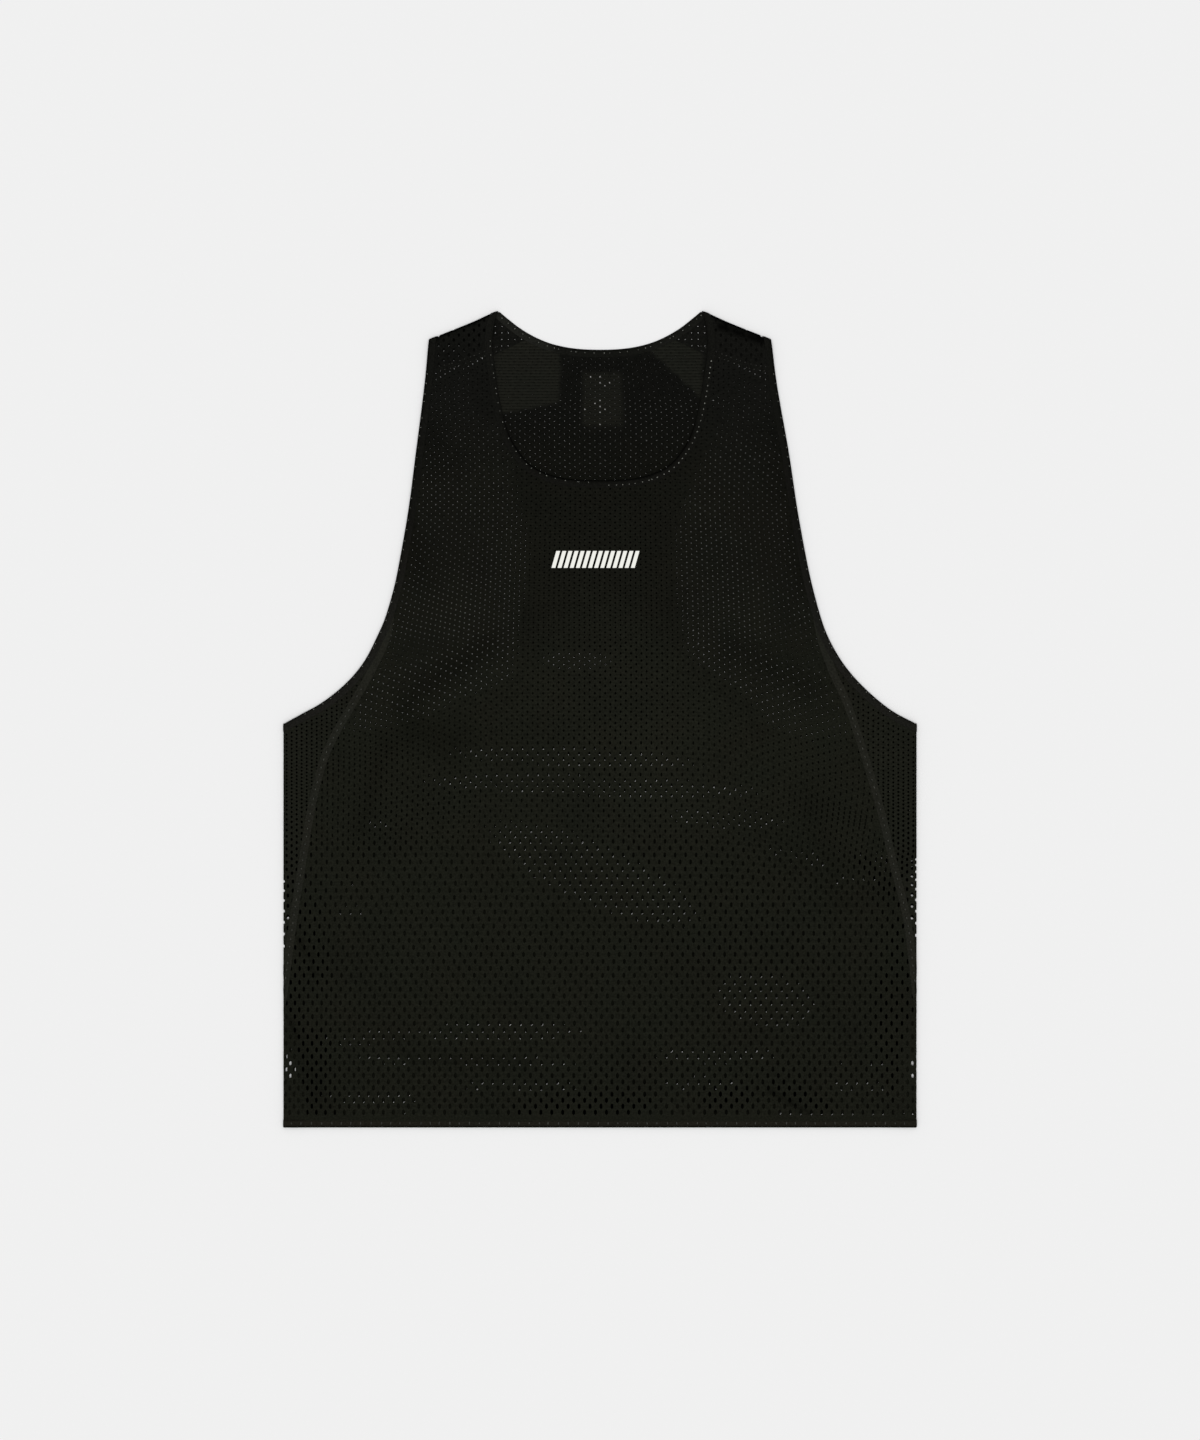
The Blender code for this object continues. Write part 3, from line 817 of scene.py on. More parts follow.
class Neck:
    """The neck edge on each layer, from right to left, and lines outside it."""

    def __init__(self):
        self.edge = {FRONT: both_halves(FRONT_NECK), BACK: both_halves(BACK_NECK)}
        for line in self.edge.values():
            line[0, 1] = line[-1, 1] = shoulder_start(line[0, 0])

    def inside(self, layer, distance):
        edge = self.edge[layer]
        rise = shoulder_start(edge[0, 0] + distance) - edge[0, 1]
        first, last = np.array((distance, rise)), np.array((-distance, rise))
        return band_line(edge, distance, first, last)

    def half(self, layer, distance, side):
        """One half of such a line, from its shoulder."""
        line = self.inside(layer, distance)
        middle = len(line) // 2
        return line[: middle + 1] if side > 0 else line[middle:][::-1]

    def ring(self, distance, lift=0.0):
        """Places on a line that runs round both shoulder folds, at a distance from the edge."""
        front, back = (self.inside(layer, distance) for layer in LAYERS)
        left_turn = np.column_stack([front[-1, 0] + 0 * TURN, TURN])
        right_turn = np.column_stack([front[0, 0] + 0 * TURN, TURN[::-1]])
        return np.vstack(
            [
                lay_round_shoulder(unroll_shoulder(front, FRONT), lift),
                lay_round_shoulder(left_turn, lift),
                lay_back(back[::-1], lift),
                lay_round_shoulder(right_turn, lift),
            ]
        )


class Hem:
    """Lines round the bottom of the garment."""

    def ring(self, distance, lift=0.0):
        """Places from right to left on the front and back on the back layer."""
        along = distance - HALF_LENGTH
        front = np.linspace(SIDE, -SIDE, HEM_STATIONS)

        def at(across):
            return np.column_stack([across, np.full(len(across), along)])

        return np.vstack(
            [
                lay_round_side(at(np.concatenate([front, -SIDE - TURN])), lift),
                lay_back(at(front[::-1]), lift),
                lay_round_side(at(SIDE + TURN[::-1]), lift),
            ]
        )


NECK = Neck()
ARMHOLES = {-1: Armhole(-1), 1: Armhole(1)}
HEM = Hem()
CUT = BAND_WIDTH - TUCK  # cloth beside a binding is cut at this distance from the edge


def seam(rows, side, gap_side=0):
    """A seam line, or the edge of the cloth to its left or right (1 or -1)."""
    line = side_line(rows, side) if "left" in rows[0]._fields else plain_line(rows, side)
    return offset(line, gap_side * SEAM_GAP / 2) if gap_side else line


def hem_line():
    reach = 2 * HALF_LENGTH
    return np.array(((-reach, HEM_TOP - TUCK), (reach, HEM_TOP - TUCK)))


def panel_outline(layer, side_seam, yoke_seam):
    """The outline of the front or back panel, between its seams and bindings and the hem."""
    return enclose(
        hem_line(),
        seam(side_seam, 1, -1)[::-1],
        ARMHOLES[1].inside(layer, CUT)[::-1],
        seam(yoke_seam, 1, -1)[::-1],
        NECK.inside(layer, CUT),
        seam(yoke_seam, -1, 1),
        ARMHOLES[-1].inside(layer, CUT),
        seam(side_seam, -1, 1),
    )


# Lattices of holes

class Lattice:
    """Where the holes of the body's knit lie: wales run down the garment and courses across it."""

    def __init__(self, rows):
        rows = rows[::-1]
        self.alongs = column(rows, "along")
        self.curves = np.array([np.polyfit(WALE_NUMBERS, row[1:], WALE_POWER) for row in rows])

    def across(self, number, along):
        """Where a wale stands at a given place along the garment."""
        curve = smooth_between(self.alongs, self.curves, along)
        powers = np.stack([number**power for power in range(WALE_POWER, -1, -1)], axis=-1)
        return np.sum(curve * powers, axis=-1)

    def holes(self):
        """Number of the wale and course of each hole, and its place."""
        numbers = np.arange(-WALES_ASIDE, WALES_ASIDE + 1)
        wale = np.concatenate([numbers + (i % 2) / 2 for i in range(len(COURSE_LINES))])
        course = np.repeat(np.arange(len(COURSE_LINES)), len(numbers))
        level = COURSE_LINES[course]
        along = level - droop(level, self.across(wale, level))
        return wale, course, np.column_stack([self.across(wale, along), along])

    def numbers_at(self, points):
        """Wale and course numbers of any place, for a pattern that follows the knit."""
        level = points[:, 1].copy()
        for _ in range(SETTLING_ROUNDS):
            level = points[:, 1] + droop(level, points[:, 0])
        course = np.interp(-level, -COURSE_LINES, np.arange(len(COURSE_LINES)))
        wale = points[:, 0] / PITCH
        for _ in range(WALE_ROUNDS):
            wale = wale + (points[:, 0] - self.across(wale, points[:, 1])) / PITCH
        return np.column_stack([wale, course])


def courses(rows, name, top):
    """Where courses of a given spacing cross the centre line, from a top down."""
    places = [top]
    while places[-1] > -HALF_LENGTH:
        places.append(places[-1] - float(stepped(rows, name, places[-1])))
    return np.array(places)


def droop(level, across):
    """How far a course has dropped below its place on the centre line."""
    left, right = (stepped(DROOP, name, level) for name in SIDE_NAMES.values())
    slope = np.where(across < 0, left, right)
    s = np.clip((np.abs(across) - DROOP_START) / DROOP_SPAN, 0.0, None)
    fall = np.where(s < 1, s**3 - s**4 / 2, s - 0.5)
    return slope * DROOP_SPAN * fall


COURSE_LINES = courses(COURSES, "spacing", HALF_LENGTH)
FRONT_LATTICE = Lattice(WALES)
BACK_LATTICE = Lattice(BACK_NECK_WALES + [WALES[0]._replace(along=250 * MM)] + WALES[1:])


def matched(points):
    """How far the back layer's holes lie under the front's, from 0 to 1, and their hang."""
    across, along = points.T
    left, right = (stepped(CHEST_ZONE, name, along) for name in SIDE_NAMES.values())
    share = ease((np.abs(across) - np.where(across < 0, left, right)) / CHEST_EASE + 0.5)
    hang = np.ones(len(points))
    for zone in MATCHED:
        aside = (across - zone.across) / zone.half_width
        slanted = along - zone.along + zone.fall * aside
        away = np.hypot(aside, slanted / zone.half_height)
        own = zone.share * (1 - ramp(away, (ZONE_WHOLE, ZONE_FADE)))
        hang = np.where(own > share, zone.hang, hang)
        share = np.maximum(share, own)
    return share, hang


def body_holes(lattice):
    """Centres and sizes of the holes, which are narrower towards the side folds."""
    wale, course, centres = lattice.holes()
    level = COURSE_LINES[course]
    sizes = np.column_stack([stepped(HOLES, name, level) for name in ("width", "height")])
    sizes[:, 0] *= 1 - NARROWER * ramp(np.abs(centres[:, 0]), NARROW_RISE)
    return centres, sizes


def fine_share(centres):
    """How much smaller the fine holes are at the sides of the chest, as a share of their size."""
    along = centres[:, 1]
    low = ramp(along, FINE_LOW_RISE) * ramp(along, FINE_LOW_FALL)
    finer = FINER + FINER_LOW * low + FINER_HIGH * ramp(along, FINE_HIGH_RISE)
    return matched(centres)[0] * finer * (along > FINE_LIMIT)


def front_holes():
    centres, sizes = body_holes(FRONT_LATTICE)
    return centres, sizes * (1 - fine_share(centres))[:, None]


def front_rings():
    """Rings of the front panel's holes. Past the side folds it lies under its own front part."""
    front, sizes = front_holes()
    kept = np.abs(front[:, 0]) < SIDE + FOLD_LENGTH
    back, back_sizes = back_holes()
    from_fold = SIDE - np.abs(back[:, 0])
    hidden = (from_fold > MM) & (from_fold < 3 * BAND_WIDTH)
    centres = np.vstack([front[kept], unroll_side(back[hidden])])
    return hole_rings(centres, np.vstack([sizes[kept], back_sizes[hidden]]))


def back_holes():
    """The back layer's holes, which slip from under the front's except where they match."""
    front, sizes = front_holes()
    along = front[:, 1]
    own, _ = body_holes(BACK_LATTICE)
    aside = BACK_SLIP * (1 + ramp(along, BACK_SLIP_RISE)) * (openings(own) == 0)
    slip = np.column_stack([PITCH * aside, 0 * along])
    share, hang = matched(front)
    further = HANG_OUTSIDE * (1 - share) + HANG_LAST * ramp(along, HANG_LAST_RISE)
    hang = hang * (1 + further * (along > FINE_END) * (hang == 1))
    under = np.column_stack([0 * along, -hang * stepped(HOLES, "slip", along)])
    share = share[:, None]
    return (own + slip) * (1 - share) + (front + under) * share, sizes


def patch_share(patch, points):
    """1 inside a patch and 0 outside it, with soft edges."""
    across, along = points.T
    share = (across - patch.left) / (patch.right - patch.left)
    bottom = patch.bottom_left + (patch.bottom_right - patch.bottom_left) * share
    inner = [across - patch.left, patch.right - across, along - bottom, patch.top - along]
    return ease(np.min(inner, axis=0) / PATCH_EASE + 0.5)


def openings(centres):
    """Width of the opening of each hole that is a dimple inside the back neck, and 0 elsewhere."""
    widths = np.zeros(len(centres))
    for patch in NECK_PATCHES:
        widths = np.where(patch_share(patch, centres) > 0.5, patch.opening, widths)
        if patch is MIDDLE_PATCH:
            wide = np.where(centres[:, 0] < WIDE_LIMIT, *WIDE_OPENINGS)
            chosen = np.random.default_rng(7).random(len(centres)) < wide
            widths = np.where((widths == patch.opening) & chosen, WIDER * patch.opening, widths)
    scoop = NECK.edge[FRONT][::-1]
    scoop = scoop[scoop[:, 1] < HALF_LENGTH - EDGE_EASE]
    lowest = np.interp(centres[:, 0], *scoop.T, left=HALF_LENGTH, right=HALF_LENGTH)
    return np.where(centres[:, 1] > lowest - BAND_WIDTH, widths, 0.0)


def side_holes(side):
    """Holes of a side panel, in the plane in which its fold is unrolled.

    Under the front panel, and below a limit, its back part carries on the body's own holes.
    """
    places = courses(SIDE_HOLES, f"{SIDE_NAMES[side]}_spacing", SIDE_TOP)
    numbers = np.arange(-SIDE_WALES, SIDE_WALES + 1)
    course = np.repeat(np.arange(len(places)), len(numbers))
    along = places[course]
    row = next(row for row in NOTCHED if row.side * side > 0)
    inner = np.minimum(row.start - along, along - row.stop)
    notched = ease(inner / SIDE_NOTCH_EASE + 0.5)
    run = SIDE_CLEAR + (SIDE_NOTCH - SIDE_CLEAR) * notched
    run = run + PITCH * (np.tile(numbers, len(places)) + (course % 2) / 2)
    sizes = np.column_stack([stepped(SIDE_HOLES, key, along) for key in ("width", "height")])
    at_edge = notched * (np.abs(run - SIDE_NOTCH) < MM)
    sizes[:, 0] += (SIDE_NOTCH_WIDTH - sizes[:, 0]) * at_edge
    sizes[:, 1] *= 1 - SIDE_NOTCH_LOWER * at_edge
    lit = (along < row.lit_start) & (along > row.lit_stop)
    hang = np.where(lit, row.hang, 1.0) * ramp(run, (SIDE_NOTCH, SIDE_HANG))
    across = SIDE + run + notched * (run > PITCH) * PITCH / 4
    along = along - hang * sizes[:, 1]
    clear = 2 * SIDE + FOLD_LENGTH - across > stepped(FRONT_SEAM, SIDE_NAMES[side], along)
    inner_own = np.where(notched > 0.5, SIDE_EDGE, FOLD_LENGTH)
    own = (across < SIDE + inner_own) | (clear & (along > SIDE_LATTICE_END))
    body, body_sizes = back_holes()
    body_across, body_along = side * body[:, 0], body[:, 1]
    covered = body_across < stepped(FRONT_SEAM, SIDE_NAMES[side], body_along) - BAND_WIDTH / 2
    covered |= body_along < SIDE_LATTICE_END - BAND_WIDTH / 2
    notched = (body_along < row.start) & (body_along > row.stop)
    covered &= body_across > 0
    covered &= body_across < SIDE - np.where(notched, SIDE_EDGE - 2 * MM, SIDE_PLAIN_EDGE)
    centres = np.vstack([np.column_stack([side * across, along])[own], unroll_side(body[covered])])
    return centres, np.vstack([sizes[own], body_sizes[covered]])


def ellipses(centres, sizes, sides):
    """A ring of points round each centre, with the area of an ellipse of that size."""
    turn = 2 * math.pi * (np.arange(sides) + 0.5 * (sides % 4 == 2)) / sides
    fullness = math.sqrt(math.pi / (sides / 2 * math.sin(2 * math.pi / sides)))
    ring = np.column_stack([np.cos(turn), np.sin(turn)]) * fullness / 2
    return centres[:, None] + ring[None] * sizes[:, None]


def hole_rings(centres, sizes, fine_limit=FINE_LIMIT):
    """Rings of four points for the small holes above a limit, and of six below it."""
    small = centres[:, 1] > fine_limit
    rings = list(ellipses(centres[small], sizes[small], 4))
    return rings + list(ellipses(centres[~small], sizes[~small], 6))


def yoke_rings(side):
    """Rings of a yoke's holes, unrolled at the shoulder, past which the cloth's grain is mirrored."""
    start, stop = (np.array((side * row.across, row.along)) for row in (SHOULDER[0], SHOULDER[-1]))
    along_fold = (stop - start) / np.linalg.norm(stop - start)
    random = np.random.default_rng(11)
    rings = []
    for i in YOKE_COURSES:
        across = side * (YOKE_START[0] + YOKE_PITCH * (np.array(YOKE_WALES) + (i % 2) / 2))
        along = np.full(len(across), YOKE_START[1] + i * YOKE_COURSE)
        centres = np.column_stack([across, along])
        sizes = np.tile(YOKE_HOLE, (len(centres), 1))
        for ring in ellipses(centres, sizes, 6):
            middle = ring.mean(axis=0)
            reach = ring[:, 1] - shoulder_start(ring[:, 0])
            small = random.uniform(*YOKE_UNEVEN)
            if reach.max() < 0:
                rings.append(unroll_shoulder(ring, FRONT))
                if lit_yoke(middle, side, 0.0):
                    under = middle + (ring - middle) * YOKE_LIT_SHARE * small
                    rings.append(unroll_shoulder(under - YOKE_LIT_SLIP, BACK))
            elif reach.min() > 0:
                from_start = middle - start
                turned = (ring - middle) * BACK_YOKE_SHARE * small + from_start * BACK_YOKE_PITCH
                mirrored = 2 * (turned @ along_fold)[:, None] * along_fold - turned + start
                place = mirrored.mean(axis=0)
                near_lit = lit_yoke(place, side, YOKE_LIT_MARGIN)
                if not shows_through(place, side) and not near_lit:
                    rings.append(unroll_shoulder(mirrored, BACK))
            else:
                rings.append(np.column_stack([ring[:, 0], reach]))
    centres, sizes = front_holes()
    above = above_yoke(centres, side)
    lit = (side * centres[:, 0] > SHOULDER[0].across) & (above < -MM) & (above > -YOKE_LIT_UNDER)
    for ring in ellipses(centres[lit], sizes[lit], 4):
        rings.append(unroll_shoulder(ring, BACK))
    return rings


def above_yoke(places, side):
    """How far places are above the front yoke seam."""
    line = seam(FRONT_YOKE, side)[::side]
    return places[..., 1] - np.interp(places[..., 0], *line.T)


def lit_yoke(place, side, margin):
    """Whether a place lies in the zone round a front yoke seam where the layers' holes match."""
    low = -margin - YOKE_LIT_UNDER * (margin > 0)
    top = YOKE_LIT[side] + YOKE_LIT_RISE * (abs(place[0]) - YOKE_LIT_OUT) + margin
    start = YOKE_LIT_START if margin == 0 else SHOULDER[0].across
    return abs(place[0]) > start and low < above_yoke(place, side) < top


def shows_through(place, side):
    """Whether a hole in the back of a yoke would lie under one in its front."""
    if abs(place[0]) < SHOULDER[0].across:
        return False
    row = (place[1] - YOKE_START[1]) / YOKE_COURSE
    for i in (math.floor(row), math.floor(row) + 1):
        wale = (side * place[0] - YOKE_START[0]) / YOKE_PITCH - (i % 2) / 2
        aside = (wale - round(wale)) * YOKE_PITCH / YOKE_HOLE[0]
        if math.hypot(aside, (row - i) * YOKE_COURSE / YOKE_HOLE[1]) < YOKE_OVERLAP:
            return True
    return False


def clear_of_edge(outline, rings):
    """The rings that lie inside the outline, clear of it by the margin."""
    rings = list(rings)
    centres = np.array([ring.mean(axis=0) for ring in rings])
    reach = np.array([np.abs(ring - ring.mean(axis=0)).max() for ring in rings])
    start, stop = outline, np.roll(outline, -1, axis=0)
    low, high = outline.min(axis=0), outline.max(axis=0)
    near = np.all((centres > low) & (centres < high), axis=1)
    kept = []
    for index in np.flatnonzero(near):
        point = centres[index]
        crosses = (start[:, 1] > point[1]) != (stop[:, 1] > point[1])
        span = stop[crosses] - start[crosses]
        share = (point[1] - start[crosses, 1]) / span[:, 1]
        if np.sum(start[crosses, 0] + share * span[:, 0] > point[0]) % 2 == 0:
            continue
        length = stop - start
        share = np.sum((point - start) * length, axis=1) / np.sum(length * length, axis=1)
        nearest = start + np.clip(share, 0, 1)[:, None] * length
        if np.linalg.norm(point - nearest, axis=1).min() > reach[index] + HOLE_MARGIN:
            kept.append(rings[index])
    return kept


def perforate(outline, rings, rims):
    """A flat sheet with holes, and with edges on the rims of its dimples: places and triangles."""
    places = np.vstack([outline, *rings, *rims])
    owner = [-1] * len(outline)
    edges = []
    for number, ring in enumerate([*rings, *rims]):
        first = len(owner)
        count = len(ring)
        owner += [number if number < len(rings) else -1] * count
        edges += [(first + i, first + (i + 1) % count) for i in range(count)]
    points = [Vector(place) for place in places.tolist()]
    made = delaunay_2d_cdt(points, edges, [list(range(len(outline)))], 1, WELD)
    corners, triangles, origins = made[0], made[2], made[3]
    owners = np.array([owner[origin[0]] if origin else -1 for origin in origins])
    triangles = np.array(triangles)
    around = owners[triangles]
    in_hole = (around[:, 0] >= 0) & (around[:, 0] == around[:, 1]) & (around[:, 0] == around[:, 2])
    return np.array([(*corner,) for corner in corners]), triangles[~in_hole]


# Shades of the cloth: how much darker it is, mostly painted shade, how ribbed, and its lift

def painted_hollow_shade(across, along):
    """Painted shade: how much darker the back layer is under the front, and more in its hollows."""
    return np.minimum(swell(HOLLOW_SHADOWS, across, along) + UNDER_PAINTED_SHADE, DEEPEST_PAINTED_SHADE)


# The front's painted shadows and painted highlights, from the table
def front_shade(flat):
    dark = swell(SHADOWS, *flat.T)
    return dark, 0 * dark, 0 * dark


def back_shade(flat, middles):
    """Painted shade behind the front's holes, deepest where it stands off; pale in the neck's
    patches; and dimpled, with painted shade in and round each opening.
    """
    covered = (openings(flat) == 0).astype(float)
    dark = painted_hollow_shade(*flat.T) * covered + NECK_DARK * (1 - covered)
    ribbed = np.zeros(len(flat))
    for patch in NECK_PATCHES:
        share = patch_share(patch, flat) * (1 - covered) * patch.pale
        dark -= PATCH_LIGHT * share
        ribbed = np.maximum(ribbed, share)
    dimples = KDTree(len(middles))
    for index, middle in enumerate(middles):
        dimples.insert((*middle, 0.0), index)
    dimples.balance()
    lift = np.zeros(len(flat))
    for index in np.flatnonzero(covered == 0):
        away = dimples.find((*flat[index], 0.0))[2]
        # Painted shade: black in a dimple's opening, and darker round it
        if away < OPENING_REACH:
            dark[index] = DEEPEST_PAINTED_SHADE
            lift[index] = DIMPLE_DEPTH
        elif away < RIM_REACH and ribbed[index] < RIBBED_LIMIT:
            dark[index] += RIM_PAINTED_SHADE
    return dark, ribbed, lift


def side_shade(flat):
    """Painted shade under the side panel's own front part, in the hollows under the front panel and
    on its fold, and the front's painted shadows.
    """
    run = np.abs(flat[:, 0]) - SIDE
    under = unroll_side(flat)
    side = SIDE_NAMES[int(np.sign(flat[0, 0]))]
    own = np.abs(under[:, 0]) > stepped(FRONT_SEAM, side, under[:, 1]) - BAND_WIDTH
    dark = np.where(own, SIDE_UNDER_PAINTED_SHADE, SIDE_HOLLOW_PAINTED_SHADE)
    hollow = np.maximum(painted_hollow_shade(*under.T), dark) * (run > FOLD_LENGTH)
    fold = SIDE_FOLD_PAINTED_SHADE * ease(run / SIDE_FOLD_EASE) * (run < FOLD_LENGTH)
    shadow = swell(SHADOWS, *flat.T) * (run < 0)
    return np.maximum(np.maximum(hollow, fold), shadow), 0 * run, 0 * run


def yoke_shade(flat):
    across, run = flat.T
    # Painted shade on the shoulder fold and the front's painted shadows; past the fold, the back's
    # painted shade under the front
    fold = YOKE_FOLD_PAINTED_SHADE * ease(run / YOKE_FOLD_EASE + 1) * (run < FOLD_LENGTH)
    outer = np.abs(across) > SHOULDER[0].across
    under = painted_hollow_shade(across, shoulder_start(across) + FOLD_LENGTH - run) - UNDER_PAINTED_SHADE
    shadow = np.minimum(swell(SHADOWS, across, shoulder_start(across) + run), DEEPEST_PAINTED_SHADE)
    dark = np.where(run < FOLD_LENGTH, np.maximum(fold, shadow), under * outer)
    return dark, 0 * run, 0 * run


def neck_shade(places):
    """How much darker the neck's binding is: painted shade at its folded edge, but less near the
    shoulders.
    """
    across, along, height = np.moveaxis(places, -1, 0)
    left = across < 0
    on_back = ease((FOLD_LEVEL - height) / MM)
    ends = np.where(left, *NECK_ENDS_PALE) * on_back * ramp(np.abs(across), NECK_ENDS_RISE)
    tops = np.where(left, *NECK_TOPS_PALE) * (1 - on_back) * ramp(along, NECK_TOPS_RISE)
    faint = NECK_FADE * (1 - on_back) * ramp(along, NECK_FADE_RISE)
    return BINDING_PAINTED_SHADE * (1 - faint) - ends - NECK_BACK_PALE * on_back - tops


def armhole_shade(places):
    """How much darker an armhole's binding is: painted shade at its folded edge, and less under the
    arm.
    """
    return BINDING_PAINTED_SHADE - UNDERARM_PALE * ramp(places[..., 1], UNDERARM_RISE)


# Pieces

def take_shading(piece):
    """Shades a finished piece smooth, but for its sharp edges."""
    select_only(piece)
    bpy.ops.object.shade_smooth_by_angle(angle=SMOOTH_ANGLE)


def select_only(piece):
    bpy.ops.object.select_all(action="DESELECT")
    piece.select_set(True)
    bpy.context.view_layer.objects.active = piece


def thicken(piece, thickness):
    """Gives a sheet its wall, half to each side."""
    wall = piece.modifiers.new("Wall", "SOLIDIFY")
    wall.thickness = thickness
    wall.offset = 0.0
    select_only(piece)
    bpy.ops.object.modifier_apply(modifier=wall.name)


def finish_piece(piece, material, replaced=()):
    """Gives a piece its finish, and ties it to the frame."""
    piece.data.materials.clear()
    piece.data.materials.append(material)
    take_shading(piece)
    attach(piece, "root")
    if replaced:
        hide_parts(*replaced)


def new_piece(name, mesh):
    piece = bpy.data.objects.new(name, mesh)
    bpy.context.scene.collection.objects.link(piece)
    return piece


def knit_map(mesh, coordinates):
    """A UV map from coordinates for each vertex."""
    layer = mesh.uv_layers.new(name="Knit")
    corner = np.empty(len(mesh.loops), int)
    mesh.loops.foreach_get("vertex_index", corner)
    layer.data.foreach_set("uv", coordinates[corner].astype(np.float32).ravel())


def paint(mesh, name, values):
    """A value for each vertex, which the cloth's material reads."""
    layer = mesh.attributes.new(name, "FLOAT", "POINT")
    layer.data.foreach_set("value", np.asarray(values, np.float32))


def sew_panel(
    name, outline, rings, lay, pattern, material, replaced,
    cuts=(), rims=(), *, shade,
):
    """A perforated piece of cloth: cut flat, bent on the folds' lines, laid and thickened.

    Its shade function gives how much darker the cloth is, mostly as painted shade, how ribbed it is,
    and its lift.
    """
    places, triangles = perforate(outline, clear_of_edge(outline, rings), rims)
    mesh = bpy.data.meshes.new(name)
    flat = np.column_stack([places, 0 * places[:, 0]])
    mesh.from_pydata(flat.tolist(), [], triangles.tolist())
    if cuts:
        bend_on(mesh, cuts)
    co = np.empty(len(mesh.vertices) * 3)
    mesh.vertices.foreach_get("co", co)
    flat = co.reshape(-1, 3)[:, :2]
    knit_map(mesh, pattern(flat))
    dark, ribbed, lift = shade(flat)
    paint(mesh, "Dark", dark)
    paint(mesh, "Ribbed", ribbed)
    mesh.vertices.foreach_set("co", lay(flat, lift).ravel())
    mesh.update()
    piece = new_piece(name, mesh)
    thicken(piece, CLOTH)
    finish_piece(piece, material, replaced)


def bend_on(mesh, cuts):
    """Cuts a flat mesh along lines: an axis, 0 or 1, and a place on it each."""
    work = bmesh.new()
    work.from_mesh(mesh)
    for axis, place in cuts:
        spot = Vector((0, 0, 0))
        spot[axis] = place
        direction = Vector((0, 0, 0))
        direction[axis] = 1
        near = [face for face in work.faces if spans(face, axis, place)]
        edges = {edge for face in near for edge in face.edges}
        corners = {vertex for face in near for vertex in face.verts}
        geometry = near + list(edges) + list(corners)
        bmesh.ops.bisect_plane(
            work, geom=geometry, dist=MM / 1e3, plane_co=spot, plane_no=direction
        )
    bmesh.ops.triangulate(work, faces=[face for face in work.faces if len(face.verts) > 3])
    work.to_mesh(mesh)
    work.free()


def spans(face, axis, place):
    values = [vertex.co[axis] for vertex in face.verts]
    return min(values) <= place <= max(values)


def strip(name, rows, thickness, closed=True, dark=0.0):
    """A strip of cloth through rows of places, which may close into a ring."""
    rows = np.array(rows)
    count, stations = rows.shape[:2]
    mesh = bpy.data.meshes.new(name)
    faces = []
    for j in range(count - 1):
        low, high = j * stations, (j + 1) * stations
        for i in range(stations if closed else stations - 1):
            after = (i + 1) % stations
            faces.append((low + i, low + after, high + after, high + i))
    mesh.from_pydata(rows.reshape(-1, 3).tolist(), [], faces)
    along = run_along(rows[0])
    steps = np.linalg.norm(np.diff(rows, axis=0), axis=2).mean(axis=1)
    aside = np.concatenate([[0.0], np.cumsum(steps)])
    grid = np.stack(np.meshgrid(along, aside), axis=-1).reshape(-1, 2)
    knit_map(mesh, grid / BAND_KNIT)
    # Painted shade of each place, such as a binding's shaded fold
    paint(mesh, "Dark", (dark + np.zeros((count, stations))).ravel())
    mesh.update()
    piece = new_piece(name, mesh)
    thicken(piece, thickness)
    return piece, along[-1], aside[-1]


def binding_rows(edge, width, lift):
    """Rows of a binding folded over an edge: out along its outer side and back along its inner."""
    outer = [(out * width, height * lift) for out, height in BINDING_PROFILE]
    inner = [(out, -height) for out, height in reversed(outer)]
    return [edge.ring(out, height) for out, height in (*outer, (0.0, 0.0), *inner)]


def between(line, first, last, count):
    """Evenly spaced places on the part of a line between two others that cross it."""
    start, i, _ = crossing(line, first)
    stop, j, _ = crossing(line, last)
    part = np.vstack([start, line[i:j], stop])
    run = run_along(part)
    return at_runs(part, run, np.linspace(0, run[-1], count))


def at_runs(line, run, at):
    return np.column_stack([np.interp(at, run, values) for values in line.T])


def sew_tape(name, line, first, last, width, lay, lift):
    """A flat tape of knit along a seam, from one edge to another, at a given lift."""
    edges = [offset(line, share * width) for share in TAPE_PROFILE]
    rows = [lay(between(edge, first, last, TAPE_STATIONS), lift) for edge in edges]
    piece, length, _ = strip(name, rows, TAPE, closed=False)
    finish_piece(piece, finish_of("Seam Knit"))


# Small things, each modelled once and copied

def select_faces(shape, wanted):
    """Leaves the shape in edit mode, with only the wanted faces selected."""
    bpy.ops.object.mode_set(mode="EDIT")
    bpy.ops.mesh.select_mode(type="FACE")
    bpy.ops.mesh.select_all(action="DESELECT")
    bpy.ops.object.mode_set(mode="OBJECT")
    for face in shape.data.polygons:
        face.select = wanted(face)
    bpy.ops.object.mode_set(mode="EDIT")


def stitch_shape(length, width):
    """One stitch: a short stretch of thread along X, with ends that dip into the cloth."""
    bpy.ops.object.select_all(action="DESELECT")
    bpy.ops.mesh.primitive_cylinder_add(vertices=6, radius=width / 2, depth=length / 2)
    shape = bpy.context.active_object
    shape.rotation_euler = (0.0, math.pi / 2, 0.0)
    bpy.ops.object.transform_apply(location=True, rotation=True, scale=True)
    for end in (-1, 1):
        select_faces(shape, lambda face: face.normal.x * end > 0.9)
        reach = (end * length / 4, 0.0, -width / 4)
        bpy.ops.mesh.extrude_region_move(TRANSFORM_OT_translate={"value": reach})
        bpy.ops.transform.resize(value=(1.0, 0.5, 0.5))
        bpy.ops.object.mode_set(mode="OBJECT")
    return shape


